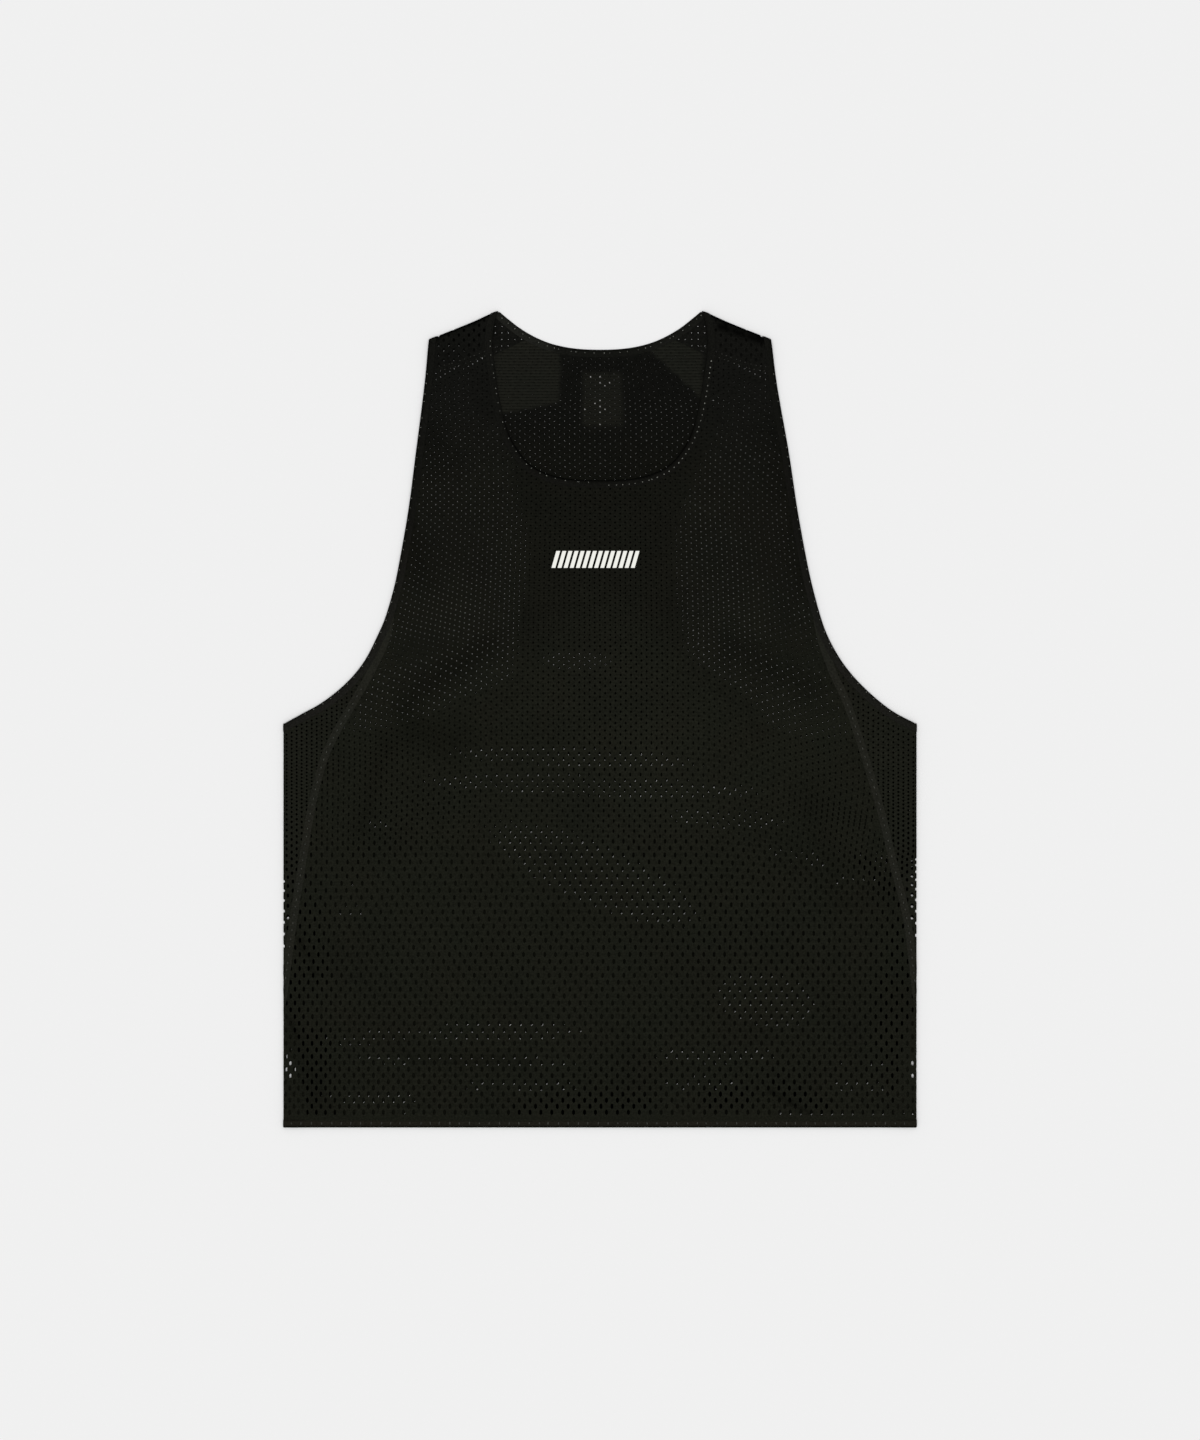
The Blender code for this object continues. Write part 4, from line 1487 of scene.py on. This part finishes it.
def bar_shape(width, height, slant, thickness):
    """One slanted bar of film, cut across into short stretches so that it follows the cloth."""
    bpy.ops.object.select_all(action="DESELECT")
    bpy.ops.mesh.primitive_cube_add(size=1.0)
    shape = bpy.context.active_object
    shape.scale = (width, height, thickness)
    bpy.ops.object.transform_apply(location=True, rotation=True, scale=True)
    select_faces(shape, lambda face: face.normal.y > 0.9)
    bpy.ops.transform.translate(value=(slant, 0.0, 0.0))
    bpy.ops.mesh.select_all(action="SELECT")
    for share in (-0.25, 0.0, 0.25):
        bpy.ops.mesh.bisect(plane_co=(0.0, share * height, 0.0), plane_no=(0.0, 1.0, 0.0))
        bpy.ops.mesh.select_all(action="SELECT")
    bpy.ops.object.mode_set(mode="OBJECT")
    edge = shape.modifiers.new("Edge", "BEVEL")
    edge.width = thickness / 3
    edge.segments = 1
    edge.limit_method = "ANGLE"
    bpy.ops.object.modifier_apply(modifier=edge.name)
    return shape


def vertices_of(shape):
    return np.array([vertex.co for vertex in shape.data.vertices])


def copied(name, shape, placed):
    """One piece of many copies of a shape, from where its vertices are in each copy."""
    count = len(shape.data.vertices)
    faces = [list(face.vertices) for face in shape.data.polygons]
    faces = [[i + k * count for i in face] for k in range(len(placed)) for face in faces]
    mesh = bpy.data.meshes.new(name)
    mesh.from_pydata(np.vstack(placed).tolist(), [], faces)
    mesh.update()
    bpy.data.objects.remove(shape)
    return new_piece(name, mesh)


def sew_stitches(name, tracks, pitch, size, finish, seed, lean=0.0, spread=0.05):
    """Rows of stitches. A track gives its line at any height, and where its first stitch is.

    Lean is the angle of the stitches to their row, and spread is how unevenly they stand.
    """
    random = np.random.default_rng(seed)
    shape = stitch_shape(*size)
    own = vertices_of(shape)
    placed = []
    for track, first in tracks:
        line, above = track(0.0), track(MM)
        run = run_along(line)
        at = np.arange(first * pitch, run[-1] - size[0], pitch)
        at = at + random.normal(0, spread * pitch, len(at))
        centres, tops = (at_runs(places, run, at) for places in (line, above))
        ahead = at_runs(line, run, at + size[0] / 2)
        for centre, top, after in zip(centres, tops, ahead):
            up = (top - centre) / np.linalg.norm(top - centre)
            forward = after - centre
            forward = forward / np.linalg.norm(forward)
            aside = np.cross(up, forward)
            turn = lean + random.normal(0, STITCH_TURN * spread)
            stretch = random.uniform(*STITCH_STRETCH)
            thread = math.cos(turn) * forward + math.sin(turn) * aside
            axes = np.vstack([stretch * thread, np.cross(up, thread), up])
            placed.append(centre + own @ axes)
    finish_piece(copied(name, shape, placed), finish_of(finish))


# Finishes

def connect(tree, node, inputs):
    """Links or sets each given input of a node, by name or number."""
    for key, value in inputs.items():
        if isinstance(value, bpy.types.NodeSocket):
            tree.links.new(value, node.inputs[key])
        else:
            node.inputs[key].default_value = value


def add_node(tree, kind, inputs=None, **settings):
    """A shader node with its settings and inputs."""
    made = tree.nodes.new("ShaderNode" + kind)
    for key, value in settings.items():
        setattr(made, key, value)
    connect(tree, made, inputs or {})
    return made


def add_group(tree, name, inputs=None):
    return add_node(tree, "Group", inputs, node_tree=bpy.data.node_groups[name])


def calculate(tree, operation, *values):
    made = add_node(tree, "Math", dict(enumerate(values)), operation=operation)
    return made.outputs["Value"]


def mixed(tree, share, first, second):
    """One colour, and another by a share."""
    made = add_node(tree, "MixRGB", {"Fac": share, "Color1": first, "Color2": second})
    return made.outputs["Color"]


def spread_out(tree, value, start, stop, kind="LINEAR"):
    """How far a value is on its way from one to another, from 0 to 1."""
    inputs = {"Value": value, "From Min": start, "From Max": stop}
    return add_node(tree, "MapRange", inputs, interpolation_type=kind).outputs["Result"]


def bumped(tree, height, strength, distance):
    made = add_node(tree, "Bump", {"Height": height, "Strength": strength, "Distance": distance})
    return made.outputs["Normal"]


def painted(tree, name):
    """The value that a piece's vertices carry."""
    return add_node(tree, "Attribute", attribute_name=name).outputs["Fac"]


def object_place(tree):
    return add_node(tree, "TexCoord").outputs["Object"]


def new_group(name, inputs, outputs):
    """A node group, whose inputs without a value are vectors, and its input and output nodes."""
    group = bpy.data.node_groups.new(name, "ShaderNodeTree")
    for socket, value in inputs.items():
        kind = "NodeSocketVector" if value is None else "NodeSocketFloat"
        made = group.interface.new_socket(socket, in_out="INPUT", socket_type=kind)
        if value is not None:
            made.default_value = value
    for socket in outputs:
        group.interface.new_socket(socket, in_out="OUTPUT", socket_type="NodeSocketFloat")
    return group, group.nodes.new("NodeGroupInput"), group.nodes.new("NodeGroupOutput")


def knit_group():
    """Courses and loops of a warp knit, from a map of wale and course numbers."""
    inputs = {"Map": None, "Loops": 7.0, "Courses": 1.0}
    group, start, end = new_group("Knit", inputs, ("Rib", "Height"))
    parts = add_node(group, "SeparateXYZ", {"Vector": start.outputs["Map"]})
    course = calculate(group, "MULTIPLY", parts.outputs["Y"], start.outputs["Courses"])
    wave = calculate(group, "COSINE", calculate(group, "MULTIPLY", course, 2 * math.pi))
    rib = calculate(group, "MULTIPLY_ADD", wave, -0.5, 0.5)
    wale = calculate(group, "MULTIPLY", parts.outputs["X"], start.outputs["Loops"])
    shifted = calculate(group, "ADD", wale, calculate(group, "MULTIPLY", wave, 0.25))
    bow = calculate(group, "SINE", calculate(group, "MULTIPLY", shifted, math.pi))
    loop = calculate(group, "ABSOLUTE", bow)
    height = calculate(group, "MULTIPLY_ADD", loop, 0.5, calculate(group, "MULTIPLY", rib, 0.6))
    connect(group, end, {"Rib": rib, "Height": height})


def cloud_group():
    """Soft cloudy differences over the garment, and a fine fibre grain."""
    inputs = {"Scale": 18.0, "Grain Scale": 760.0}
    group, start, end = new_group("Clouds", inputs, ("Cloud", "Grain"))
    place = object_place(group)
    for name, scale, detail in (("Cloud", "Scale", 3.0), ("Grain", "Grain Scale", 2.0)):
        chart = {"Vector": place, "Scale": start.outputs[scale], "Detail": detail}
        noise = add_node(group, "TexNoise", chart).outputs["Fac"]
        connect(group, end, {name: spread_out(group, noise, 0.3, 0.7)})


def scaled(colour, factor=1.0):
    return (*(part * factor for part in colour), 1.0)


def new_material(name):
    """A material, its node tree and its shader."""
    made = bpy.data.materials.new(name)
    made.use_nodes = True
    return made, made.node_tree, made.node_tree.nodes["Principled BSDF"]


def cloth_material(name, top, upper, lower, loops=7.0, courses=1.0):
    """Matte knit: shades that change down the garment, clouds, courses and fibre grain."""
    _, tree, shader = new_material(name)
    clouds = add_group(tree, "Clouds")
    grain = clouds.outputs["Grain"]
    chart = add_node(tree, "UVMap", uv_map="Knit").outputs["UV"]
    knit = add_group(tree, "Knit", {"Map": chart, "Loops": loops, "Courses": courses})
    dark, ribbed = painted(tree, "Dark"), painted(tree, "Ribbed")
    place = object_place(tree)
    along = add_node(tree, "SeparateXYZ", {"Vector": place}).outputs["Y"]

    # Colour: chest to waist with clouds and changes of hue, and up to the shoulders
    fade = spread_out(tree, along, 165 * MM, -60 * MM, "SMOOTHSTEP")
    cloudy = calculate(tree, "MULTIPLY_ADD", clouds.outputs["Cloud"], 0.5, fade)
    lowered = calculate(tree, "SUBTRACT", cloudy, 0.25)
    worn = mixed(tree, lowered, scaled(upper), scaled(lower))
    hue = add_node(tree, "TexNoise", {"Vector": place, "Scale": 26.0}).outputs["Fac"]
    warmth = calculate(tree, "MULTIPLY_ADD", hue, 0.16, 0.955)
    tint = add_node(tree, "CombineXYZ", {"X": warmth, "Y": 1.0, "Z": 1.0}).outputs["Vector"]
    tinted = add_node(tree, "VectorMath", {0: worn, 1: tint}, operation="MULTIPLY")
    rise = spread_out(tree, along, 180 * MM, 270 * MM, "SMOOTHSTEP")
    raised = calculate(tree, "MULTIPLY_ADD", ribbed, -1.8, rise)
    base = mixed(tree, raised, tinted.outputs["Vector"], scaled(top))

    # Shade: courses and grain, and the darkness painted on the piece, which is mostly painted shade
    grainy = calculate(tree, "MULTIPLY_ADD", grain, 0.6, 0.7 - RIB_SHADE / 2)
    rib = calculate(tree, "MULTIPLY_ADD", ribbed, 1.5, RIB_SHADE)
    knitted = calculate(tree, "MULTIPLY_ADD", knit.outputs["Rib"], rib, grainy)
    light = calculate(tree, "MULTIPLY_ADD", dark, -1.1, 1.1)
    shade = calculate(tree, "MULTIPLY", knitted, light)
    toned = add_node(tree, "VectorMath", {0: base, "Scale": shade}, operation="SCALE")

    height = calculate(tree, "MULTIPLY_ADD", grain, 0.3, knit.outputs["Height"])
    surface = {
        "Base Color": toned.outputs["Vector"],
        "Roughness": calculate(tree, "MULTIPLY_ADD", grain, 0.06, KNIT_ROUGHNESS - 0.03),
        "Normal": bumped(tree, height, 0.35, 0.15 * MM),
        "Specular IOR Level": 0.004,
        "Sheen Weight": 0.003,
        "Sheen Roughness": 0.6,
    }
    connect(tree, shader, surface)


def thread_material(name, colour):
    """Twisted polyester thread, with pale and dull stitches."""
    _, tree, shader = new_material(name)
    clouds = add_group(tree, "Clouds", {"Scale": 320.0, "Grain Scale": 1500.0})
    cloud, grain = clouds.outputs["Cloud"], clouds.outputs["Grain"]
    surface = {
        "Base Color": mixed(tree, cloud, scaled(colour, 0.3), scaled(colour, 1.5)),
        "Normal": bumped(tree, grain, 0.3, 0.1 * MM),
        "Roughness": 0.6,
        "Specular IOR Level": 0.3,
    }
    connect(tree, shader, surface)


def reflective_material(name, colour):
    """Glass-bead film: off-white, with a fine beaded grain."""
    _, tree, shader = new_material(name)
    beads = {"Vector": object_place(tree), "Scale": 2600.0}
    away = add_node(tree, "TexVoronoi", beads).outputs["Distance"]
    surface = {
        "Base Color": mixed(tree, away, scaled(colour), scaled(colour, 0.9)),
        "Normal": bumped(tree, away, 0.2, 0.05 * MM),
        "Roughness": 0.45,
        "Specular IOR Level": 0.4,
    }
    connect(tree, shader, surface)


def floor_material(name, colour):
    """Pale matte board with a barely visible grain."""
    made, tree, shader = new_material(name)
    grain = add_group(tree, "Clouds", {"Scale": 3.0, "Grain Scale": 400.0}).outputs["Grain"]
    surface = {
        "Base Color": mixed(tree, grain, scaled(colour, 0.998), scaled(colour, 1.002)),
        "Roughness": 0.95,
        "Specular IOR Level": 0.0,
    }
    connect(tree, shader, surface)
    return made


def make_finishes():
    """All materials, once, from the settings."""
    if "Mesh Cloth" in bpy.data.materials:
        return
    knit_group()
    cloud_group()
    cloth = bpy.context.scene.singlet_cloth
    trim = bpy.context.scene.singlet_trim
    cloth_material("Mesh Cloth", cloth.shoulder_colour, cloth.upper_colour, cloth.lower_colour)
    cloth_material("Side Cloth", cloth.upper_colour, cloth.upper_colour, cloth.side_colour)
    cloth_material("Yoke Cloth", *[cloth.shoulder_colour] * 3)
    cloth_material("Binding Knit", *[trim.band_colour] * 3, loops=9.0, courses=5.0)
    cloth_material("Hem Knit", *[trim.hem_colour] * 3, loops=9.0, courses=5.0)
    cloth_material("Seam Knit", *[trim.seam_colour] * 3, loops=10.0, courses=6.0)
    thread_material("Thread", trim.thread_colour)
    thread_material("Dull Thread", trim.dull_thread_colour)
    thread_material("Seam Thread", trim.seam_thread_colour)
    reflective_material("Reflective Film", trim.film_colour)


def finish_of(name):
    make_finishes()
    return bpy.data.materials[name]


# Settings

def colour_setting(name, description, default):
    return FloatVectorProperty(
        name=name,
        description=description,
        default=default,
        subtype="COLOR",
        size=3,
        min=0.0,
        max=1.0,
    )


def length_setting(name, description, default, least):
    return FloatProperty(
        name=name,
        description=description,
        default=default,
        subtype="DISTANCE",
        unit="LENGTH",
        min=least,
    )


class SingletCloth(bpy.types.PropertyGroup):
    shoulder_colour: colour_setting(
        "Shoulder Colour",
        "Shade of the mesh at the shoulders and the back neck",
        (0.0055, 0.0056, 0.0047),
    )
    upper_colour: colour_setting(
        "Chest Colour", "Shade of the mesh at the chest", (0.0059, 0.0062, 0.0046)
    )
    lower_colour: colour_setting(
        "Waist Colour", "Shade of the mesh from the waist down", (0.0085, 0.0093, 0.0064)
    )
    side_colour: colour_setting(
        "Side Colour", "Shade of the finer mesh of the side panels", (0.0096, 0.0104, 0.0074)
    )


class SingletTrim(bpy.types.PropertyGroup):
    band_colour: colour_setting(
        "Binding Colour", "Shade of the neck and armhole bindings", (0.0058, 0.0059, 0.0049)
    )
    hem_colour: colour_setting(
        "Hem Colour", "Shade of the turned hem", (0.0114, 0.0107, 0.0078)
    )
    seam_colour: colour_setting(
        "Seam Colour", "Shade of the flat seams", (0.0128, 0.0134, 0.0102)
    )
    thread_colour: colour_setting(
        "Thread Colour", "Shade of the topstitching", (0.24, 0.245, 0.215)
    )
    dull_thread_colour: colour_setting(
        "Hem Thread Colour",
        "Shade of the thread in the hem and the yoke seams",
        (0.026, 0.026, 0.021),
    )
    seam_thread_colour: colour_setting(
        "Seam Thread Colour", "Shade of the thread in the side seams", (0.033, 0.034, 0.027)
    )
    film_colour: colour_setting(
        "Film Colour", "Shade of the reflective film on the chest", (0.9, 0.9, 0.84)
    )
    stitch_length: length_setting(
        "Stitch Length", "Length of thread that shows of each stitch", 1.1 * MM, 0.5 * MM
    )
    stitch_pitch: length_setting(
        "Stitch Pitch", "Distance between the stitches of a row", 8.6 * MM, 2 * MM
    )
    film_bars: IntProperty(
        name="Film Bars",
        description="Slanted bars in the strip of reflective film",
        default=14,
        min=1,
        max=40,
    )


class SingletStage(bpy.types.PropertyGroup):
    floor_size: length_setting("Floor Size", "Width and length of the floor", 12.0, 1.0)
    floor_colour: colour_setting("Floor Colour", "Shade of the floor", (0.871, 0.871, 0.871))
    camera_height: length_setting(
        "Camera Height", "Distance of the camera straight above the floor", 2.788, 0.5
    )
    sky_strength: FloatProperty(
        name="Sky Strength",
        description="Light that comes evenly from all round",
        default=0.62,
        min=0.0,
    )
    lamp_strength: FloatProperty(
        name="Lamp Strength",
        description="Light of the wide lamp overhead",
        default=1.2,
        min=0.0,
    )


# Operators

class SINGLET_OT_stage(bpy.types.Operator):
    """Adds the floor, the overhead camera and soft studio light"""

    bl_idname = "singlet.stage"
    bl_label = "Stage"

    def execute(self, context):
        settings = context.scene.singlet_stage
        make_finishes()
        bpy.ops.object.select_all(action="DESELECT")
        bpy.ops.mesh.primitive_plane_add(size=settings.floor_size)
        floor = context.active_object
        floor.name = "floor"
        floor.data.materials.append(floor_material("Pale Board", settings.floor_colour))

        camera = bpy.data.objects.new("camera", bpy.data.cameras.new("camera"))
        context.scene.collection.objects.link(camera)
        camera.location = (0.0, CAMERA_ALONG, settings.camera_height)
        camera.data.lens = LENS
        camera.data.sensor_width = SENSOR
        camera.data.dof.use_dof = False
        context.scene.camera = camera

        lamp = bpy.data.objects.new("overhead_light", bpy.data.lights.new("overhead_light", "SUN"))
        context.scene.collection.objects.link(lamp)
        lamp.data.energy = settings.lamp_strength
        lamp.data.angle = LAMP_ANGLE
        lamp.location = (0.0, 0.0, LAMP_HEIGHT)

        world = bpy.data.worlds.new("studio")
        world.use_nodes = True
        sky = world.node_tree.nodes["Background"]
        sky.inputs["Color"].default_value = (1.0, 1.0, 1.0, 1.0)
        sky.inputs["Strength"].default_value = settings.sky_strength
        context.scene.world = world
        context.scene.view_settings.view_transform = "Standard"
        context.scene.view_settings.look = "None"
        return {"FINISHED"}


class SINGLET_OT_front_panel(bpy.types.Operator):
    """Cuts the front panel, with its lattice of holes, and lays it over the back"""

    bl_idname = "singlet.front_panel"
    bl_label = "Front Panel"

    def execute(self, context):
        outline = panel_outline(FRONT, FRONT_SEAM, FRONT_YOKE)
        folds = fold_cuts(SIDE)
        sew_panel(
            "front_mesh",
            outline,
            front_rings(),
            lay_round_side,
            FRONT_LATTICE.numbers_at,
            finish_of("Mesh Cloth"),
            ["front_panel"],
            [(0, place) for place in (*folds, *-folds)],
            shade=front_shade,
        )
        return {"FINISHED"}


class SINGLET_OT_back_panel(bpy.types.Operator):
    """Cuts the back panel, whose holes slip from under the front's in most places"""

    bl_idname = "singlet.back_panel"
    bl_label = "Back Panel"

    def execute(self, context):
        outline = panel_outline(BACK, BACK_SEAM, BACK_YOKE)
        centres, sizes = back_holes()
        dimpled = openings(centres) > 0
        rims = clear_of_edge(outline, ellipses(centres[dimpled], sizes[dimpled], 4))
        middles = np.array([rim.mean(axis=0) for rim in rims])
        small = openings(middles)[:, None] * (1.0, OPENING_HEIGHT)
        rings = hole_rings(centres[~dimpled], sizes[~dimpled], BACK_FINE_LIMIT)
        sew_panel(
            "back_mesh",
            outline,
            rings + list(ellipses(middles, small, 4)),
            lay_back,
            BACK_LATTICE.numbers_at,
            finish_of("Mesh Cloth"),
            ["back_panel"],
            rims=rims,
            shade=lambda flat: back_shade(flat, middles),
        )
        return {"FINISHED"}


class SINGLET_OT_side_panels(bpy.types.Operator):
    """Cuts both side panels and wraps them round the side folds"""

    bl_idname = "singlet.side_panels"
    bl_label = "Side Panels"

    def execute(self, context):
        for side, name in SIDE_NAMES.items():
            armhole = ARMHOLES[side]
            outline = enclose(
                hem_line(),
                unroll_side(seam(BACK_SEAM, side, side)[::-1]),
                np.vstack(
                    [
                        unroll_side(armhole.inside(BACK, CUT)),
                        armhole.inside(FRONT, CUT)[::-1],
                    ]
                ),
                seam(FRONT_SEAM, side, side),
            )
            centres, sizes = side_holes(side)
            sew_panel(
                f"side_mesh_{name}",
                outline,
                hole_rings(centres, sizes, SIDE_FINE_LIMIT),
                lay_round_side,
                lambda points: points / (PITCH, SIDE_COURSE),
                finish_of("Side Cloth"),
                [f"side_panel_{name}"],
                [(0, side * place) for place in fold_cuts(SIDE)],
                shade=side_shade,
            )
        return {"FINISHED"}


class SINGLET_OT_shoulder_yokes(bpy.types.Operator):
    """Cuts both shoulder yokes of open mesh and wraps them round the shoulder folds"""

    bl_idname = "singlet.shoulder_yokes"
    bl_label = "Shoulder Yokes"

    def execute(self, context):
        for side, name in SIDE_NAMES.items():
            armhole = ARMHOLES[side]
            outline = enclose(
                unroll_shoulder(seam(FRONT_YOKE, side, side), FRONT),
                np.vstack(
                    [
                        unroll_shoulder(armhole.inside(FRONT, CUT)[::-1], FRONT),
                        unroll_shoulder(armhole.inside(BACK, CUT), BACK),
                    ]
                ),
                unroll_shoulder(seam(BACK_YOKE, side, side)[::-1], BACK),
                np.vstack(
                    [
                        unroll_shoulder(NECK.half(BACK, CUT, side)[::-1], BACK),
                        unroll_shoulder(NECK.half(FRONT, CUT, side), FRONT),
                    ]
                ),
            )
            sew_panel(
                f"yoke_mesh_{name}",
                outline,
                yoke_rings(side),
                lay_round_shoulder,
                lambda points: points / (YOKE_PITCH, YOKE_COURSE),
                finish_of("Yoke Cloth"),
                [f"shoulder_yoke_{name}"],
                [(1, place) for place in fold_cuts(0.0)],
                shade=yoke_shade,
            )
        return {"FINISHED"}


class SINGLET_OT_bindings(bpy.types.Operator):
    """Folds a binding over the neck edge and over each armhole edge"""

    bl_idname = "singlet.bindings"
    bl_label = "Bindings"

    def execute(self, context):
        edges = (
            ("neck_binding", NECK, "neck_band"),
            ("armhole_binding_left", ARMHOLES[-1], "armhole_band_left"),
            ("armhole_binding_right", ARMHOLES[1], "armhole_band_right"),
        )
        for name, edge, node in edges:
            rows = binding_rows(edge, BAND_WIDTH, BAND_LIFT)
            # Painted shade at each binding's fold
            shade = neck_shade if edge is NECK else armhole_shade
            dark = shade(np.array(rows))
            piece, length, width = strip(name, rows, BAND_CLOTH, dark=dark)
            finish_piece(piece, finish_of("Binding Knit"), [node])
        return {"FINISHED"}


class SINGLET_OT_hem(bpy.types.Operator):
    """Turns the hem up all round the bottom"""

    bl_idname = "singlet.hem"
    bl_label = "Hem"

    def execute(self, context):
        rows = binding_rows(HEM, HEM_DEPTH, BAND_LIFT)
        # Painted shade at the hem's fold and its edges
        piece, length, width = strip("turned_hem", rows, BAND_CLOTH, dark=HEM_PAINTED_SHADE)
        finish_piece(piece, finish_of("Hem Knit"), ["hem_band"])
        return {"FINISHED"}


class SINGLET_OT_seams(bpy.types.Operator):
    """Lays flat tapes over the side seams, and under the yoke seams"""

    bl_idname = "singlet.seams"
    bl_label = "Seam Tapes"

    def execute(self, context):
        for side, name in SIDE_NAMES.items():
            armhole = ARMHOLES[side]
            sew_tape(
                f"side_seam_{name}", seam(FRONT_SEAM, side),
                armhole.inside(FRONT, BAND_WIDTH), hem_line() - (0, SIDE_TAPE_TUCK),
                SIDE_TAPE, lay_round_side, TAPE_LIFT,
            )
            sew_tape(
                f"back_seam_{name}", seam(BACK_SEAM, side),
                armhole.inside(BACK, BAND_WIDTH), hem_line(),
                BACK_TAPE, lay_back, TAPE_LIFT,
            )
            sew_tape(
                f"front_yoke_seam_{name}", seam(FRONT_YOKE, side),
                NECK.inside(FRONT, BAND_WIDTH), armhole.inside(FRONT, BAND_WIDTH),
                YOKE_TAPE, lay_round_side, -TAPE_LIFT,
            )
            sew_tape(
                f"back_yoke_seam_{name}", seam(BACK_YOKE, side),
                NECK.inside(BACK, BAND_WIDTH), armhole.inside(BACK, BAND_WIDTH),
                YOKE_TAPE, lay_back, TAPE_LIFT,
            )
        return {"FINISHED"}


class SINGLET_OT_stitches(bpy.types.Operator):
    """Topstitches the bindings, the hem and the seams"""

    bl_idname = "singlet.stitches"
    bl_label = "Stitches"

    def execute(self, context):
        trim = context.scene.singlet_trim
        size = (trim.stitch_length, STITCH_WIDTH * trim.stitch_length)
        small = (SMALL_STITCH * size[0], SMALL_STITCH * size[1])
        on_band = 1.1 * BAND_LIFT + BAND_CLOTH / 2
        on_cloth = CLOTH / 2
        on_tape = TAPE_LIFT + TAPE / 2

        def front(line, level):
            return lambda lift: lay_round_side(line, level + lift)

        line = NECK.inside(FRONT, NECK_RIGHT_ROW)
        line = line[(line[:, 1] < NECK_RIGHT_TOP) & (line[:, 0] > 0)]
        sew_stitches(
            "neck_stitches_right", [(front(line, on_band), 0.5)], 0.58 * trim.stitch_pitch, size,
            "Thread", 1, spread=0.14,
        )
        line = NECK.inside(FRONT, NECK_LEFT_ROW)
        line = line[(line[:, 1] < HALF_LENGTH - EDGE_EASE / 2) & (line[:, 0] < 0)]
        inner = NECK.inside(BACK, NECK_BACK_ROW)
        tracks = [
            (front(line, on_band), 0.5),
            (lambda lift: lay_back(inner, -on_band - lift), 0.5),
        ]
        sew_stitches(
            "neck_stitches_left", tracks, 0.8 * trim.stitch_pitch, small, "Thread", 6,
            spread=0.2,
        )
        for side, name in SIDE_NAMES.items():
            line = ARMHOLES[side].inside(FRONT, ARMHOLE_ROW)[ARMHOLE_ROW_END:-ARMHOLE_ROW_END]
            sew_stitches(
                f"armhole_stitches_{name}", [(front(line, on_band), 0.5)], trim.stitch_pitch,
                small, "Thread", 2, spread=0.14,
            )
            yoke = seam(FRONT_YOKE, side)
            outer = side * ARMHOLES[side].edge[FRONT][YOKE_ROW_END, 0] - BAND_WIDTH
            yoke = yoke[np.abs(yoke[:, 0]) < outer]
            rows = (-YOKE_ROW, YOKE_ROW)
            tracks = [(front(offset(yoke, away), on_cloth), 0.6) for away in rows]
            sew_stitches(
                f"yoke_stitches_{name}", tracks, trim.stitch_pitch / 2, size, "Dull Thread",
                3, spread=0.14,
            )
            line = seam(FRONT_SEAM, side)
            line = line[(line[:, 1] < SIDE_ROW_TOP) & (np.abs(line[:, 0]) < SIDE)]
            sew_stitches(
                f"side_stitches_{name}", [(front(line, on_tape), 0.5)], SIDE_STITCH_PITCH,
                SIDE_STITCH, "Seam Thread", 4,
            )
        across = np.linspace(-SIDE, SIDE, HEM_STATIONS)
        line = np.column_stack([across, np.full(HEM_STATIONS, HEM_ROW - HALF_LENGTH)])
        sew_stitches(
            "hem_stitches", [(front(line, on_band), 0.7)], HEM_STITCH_PITCH, HEM_STITCH,
            "Dull Thread", 5, lean=math.pi / 2,
        )
        return {"FINISHED"}


class SINGLET_OT_film(bpy.types.Operator):
    """Presses a strip of reflective film, cut into slanted bars, on the chest"""

    bl_idname = "singlet.film"
    bl_label = "Reflective Film"

    def execute(self, context):
        count = context.scene.singlet_trim.film_bars
        shape = bar_shape(BAR_WIDTH, FILM_HEIGHT, BAR_SLANT, FILM)
        own = vertices_of(shape)
        placed = []
        for number in range(count):
            aside = (number - (count - 1) / 2) * FILM_LENGTH / count
            points = own[:, :2] + (FILM_PLACE[0] + aside - BAR_SLANT / 2, FILM_PLACE[1])
            placed.append(lay_round_side(points, CLOTH / 2 + FILM / 2 + own[:, 2]))
        piece = copied("reflective_film", shape, placed)
        finish_piece(piece, finish_of("Reflective Film"))
        return {"FINISHED"}


class SINGLET_PT_panel(bpy.types.Panel):
    """Lists the singlet's pieces and settings"""

    bl_idname = "SINGLET_PT_panel"
    bl_label = "Running Singlet"
    bl_space_type = "VIEW_3D"
    bl_region_type = "UI"
    bl_category = "Singlet"

    def draw(self, context):
        layout = self.layout
        for operator in OPERATORS:
            layout.operator(operator.bl_idname)
        for name, settings in SETTINGS.items():
            group = getattr(context.scene, name)
            for key in settings.__annotations__:
                layout.prop(group, key)


SETTINGS = {
    "singlet_cloth": SingletCloth,
    "singlet_trim": SingletTrim,
    "singlet_stage": SingletStage,
}
OPERATORS = (
    SINGLET_OT_stage,
    SINGLET_OT_back_panel,
    SINGLET_OT_front_panel,
    SINGLET_OT_side_panels,
    SINGLET_OT_shoulder_yokes,
    SINGLET_OT_bindings,
    SINGLET_OT_hem,
    SINGLET_OT_seams,
    SINGLET_OT_stitches,
    SINGLET_OT_film,
)


def register():
    for made in (*SETTINGS.values(), *OPERATORS, SINGLET_PT_panel):
        bpy.utils.register_class(made)
    for name, settings in SETTINGS.items():
        setattr(bpy.types.Scene, name, PointerProperty(type=settings))


def unregister():
    for name in SETTINGS:
        delattr(bpy.types.Scene, name)
    for made in reversed((*SETTINGS.values(), *OPERATORS, SINGLET_PT_panel)):
        bpy.utils.unregister_class(made)


def main():
    register()
    for operator in OPERATORS:
        family, name = operator.bl_idname.split(".")
        getattr(getattr(bpy.ops, family), name)()


if __name__ == "__main__":
    main()
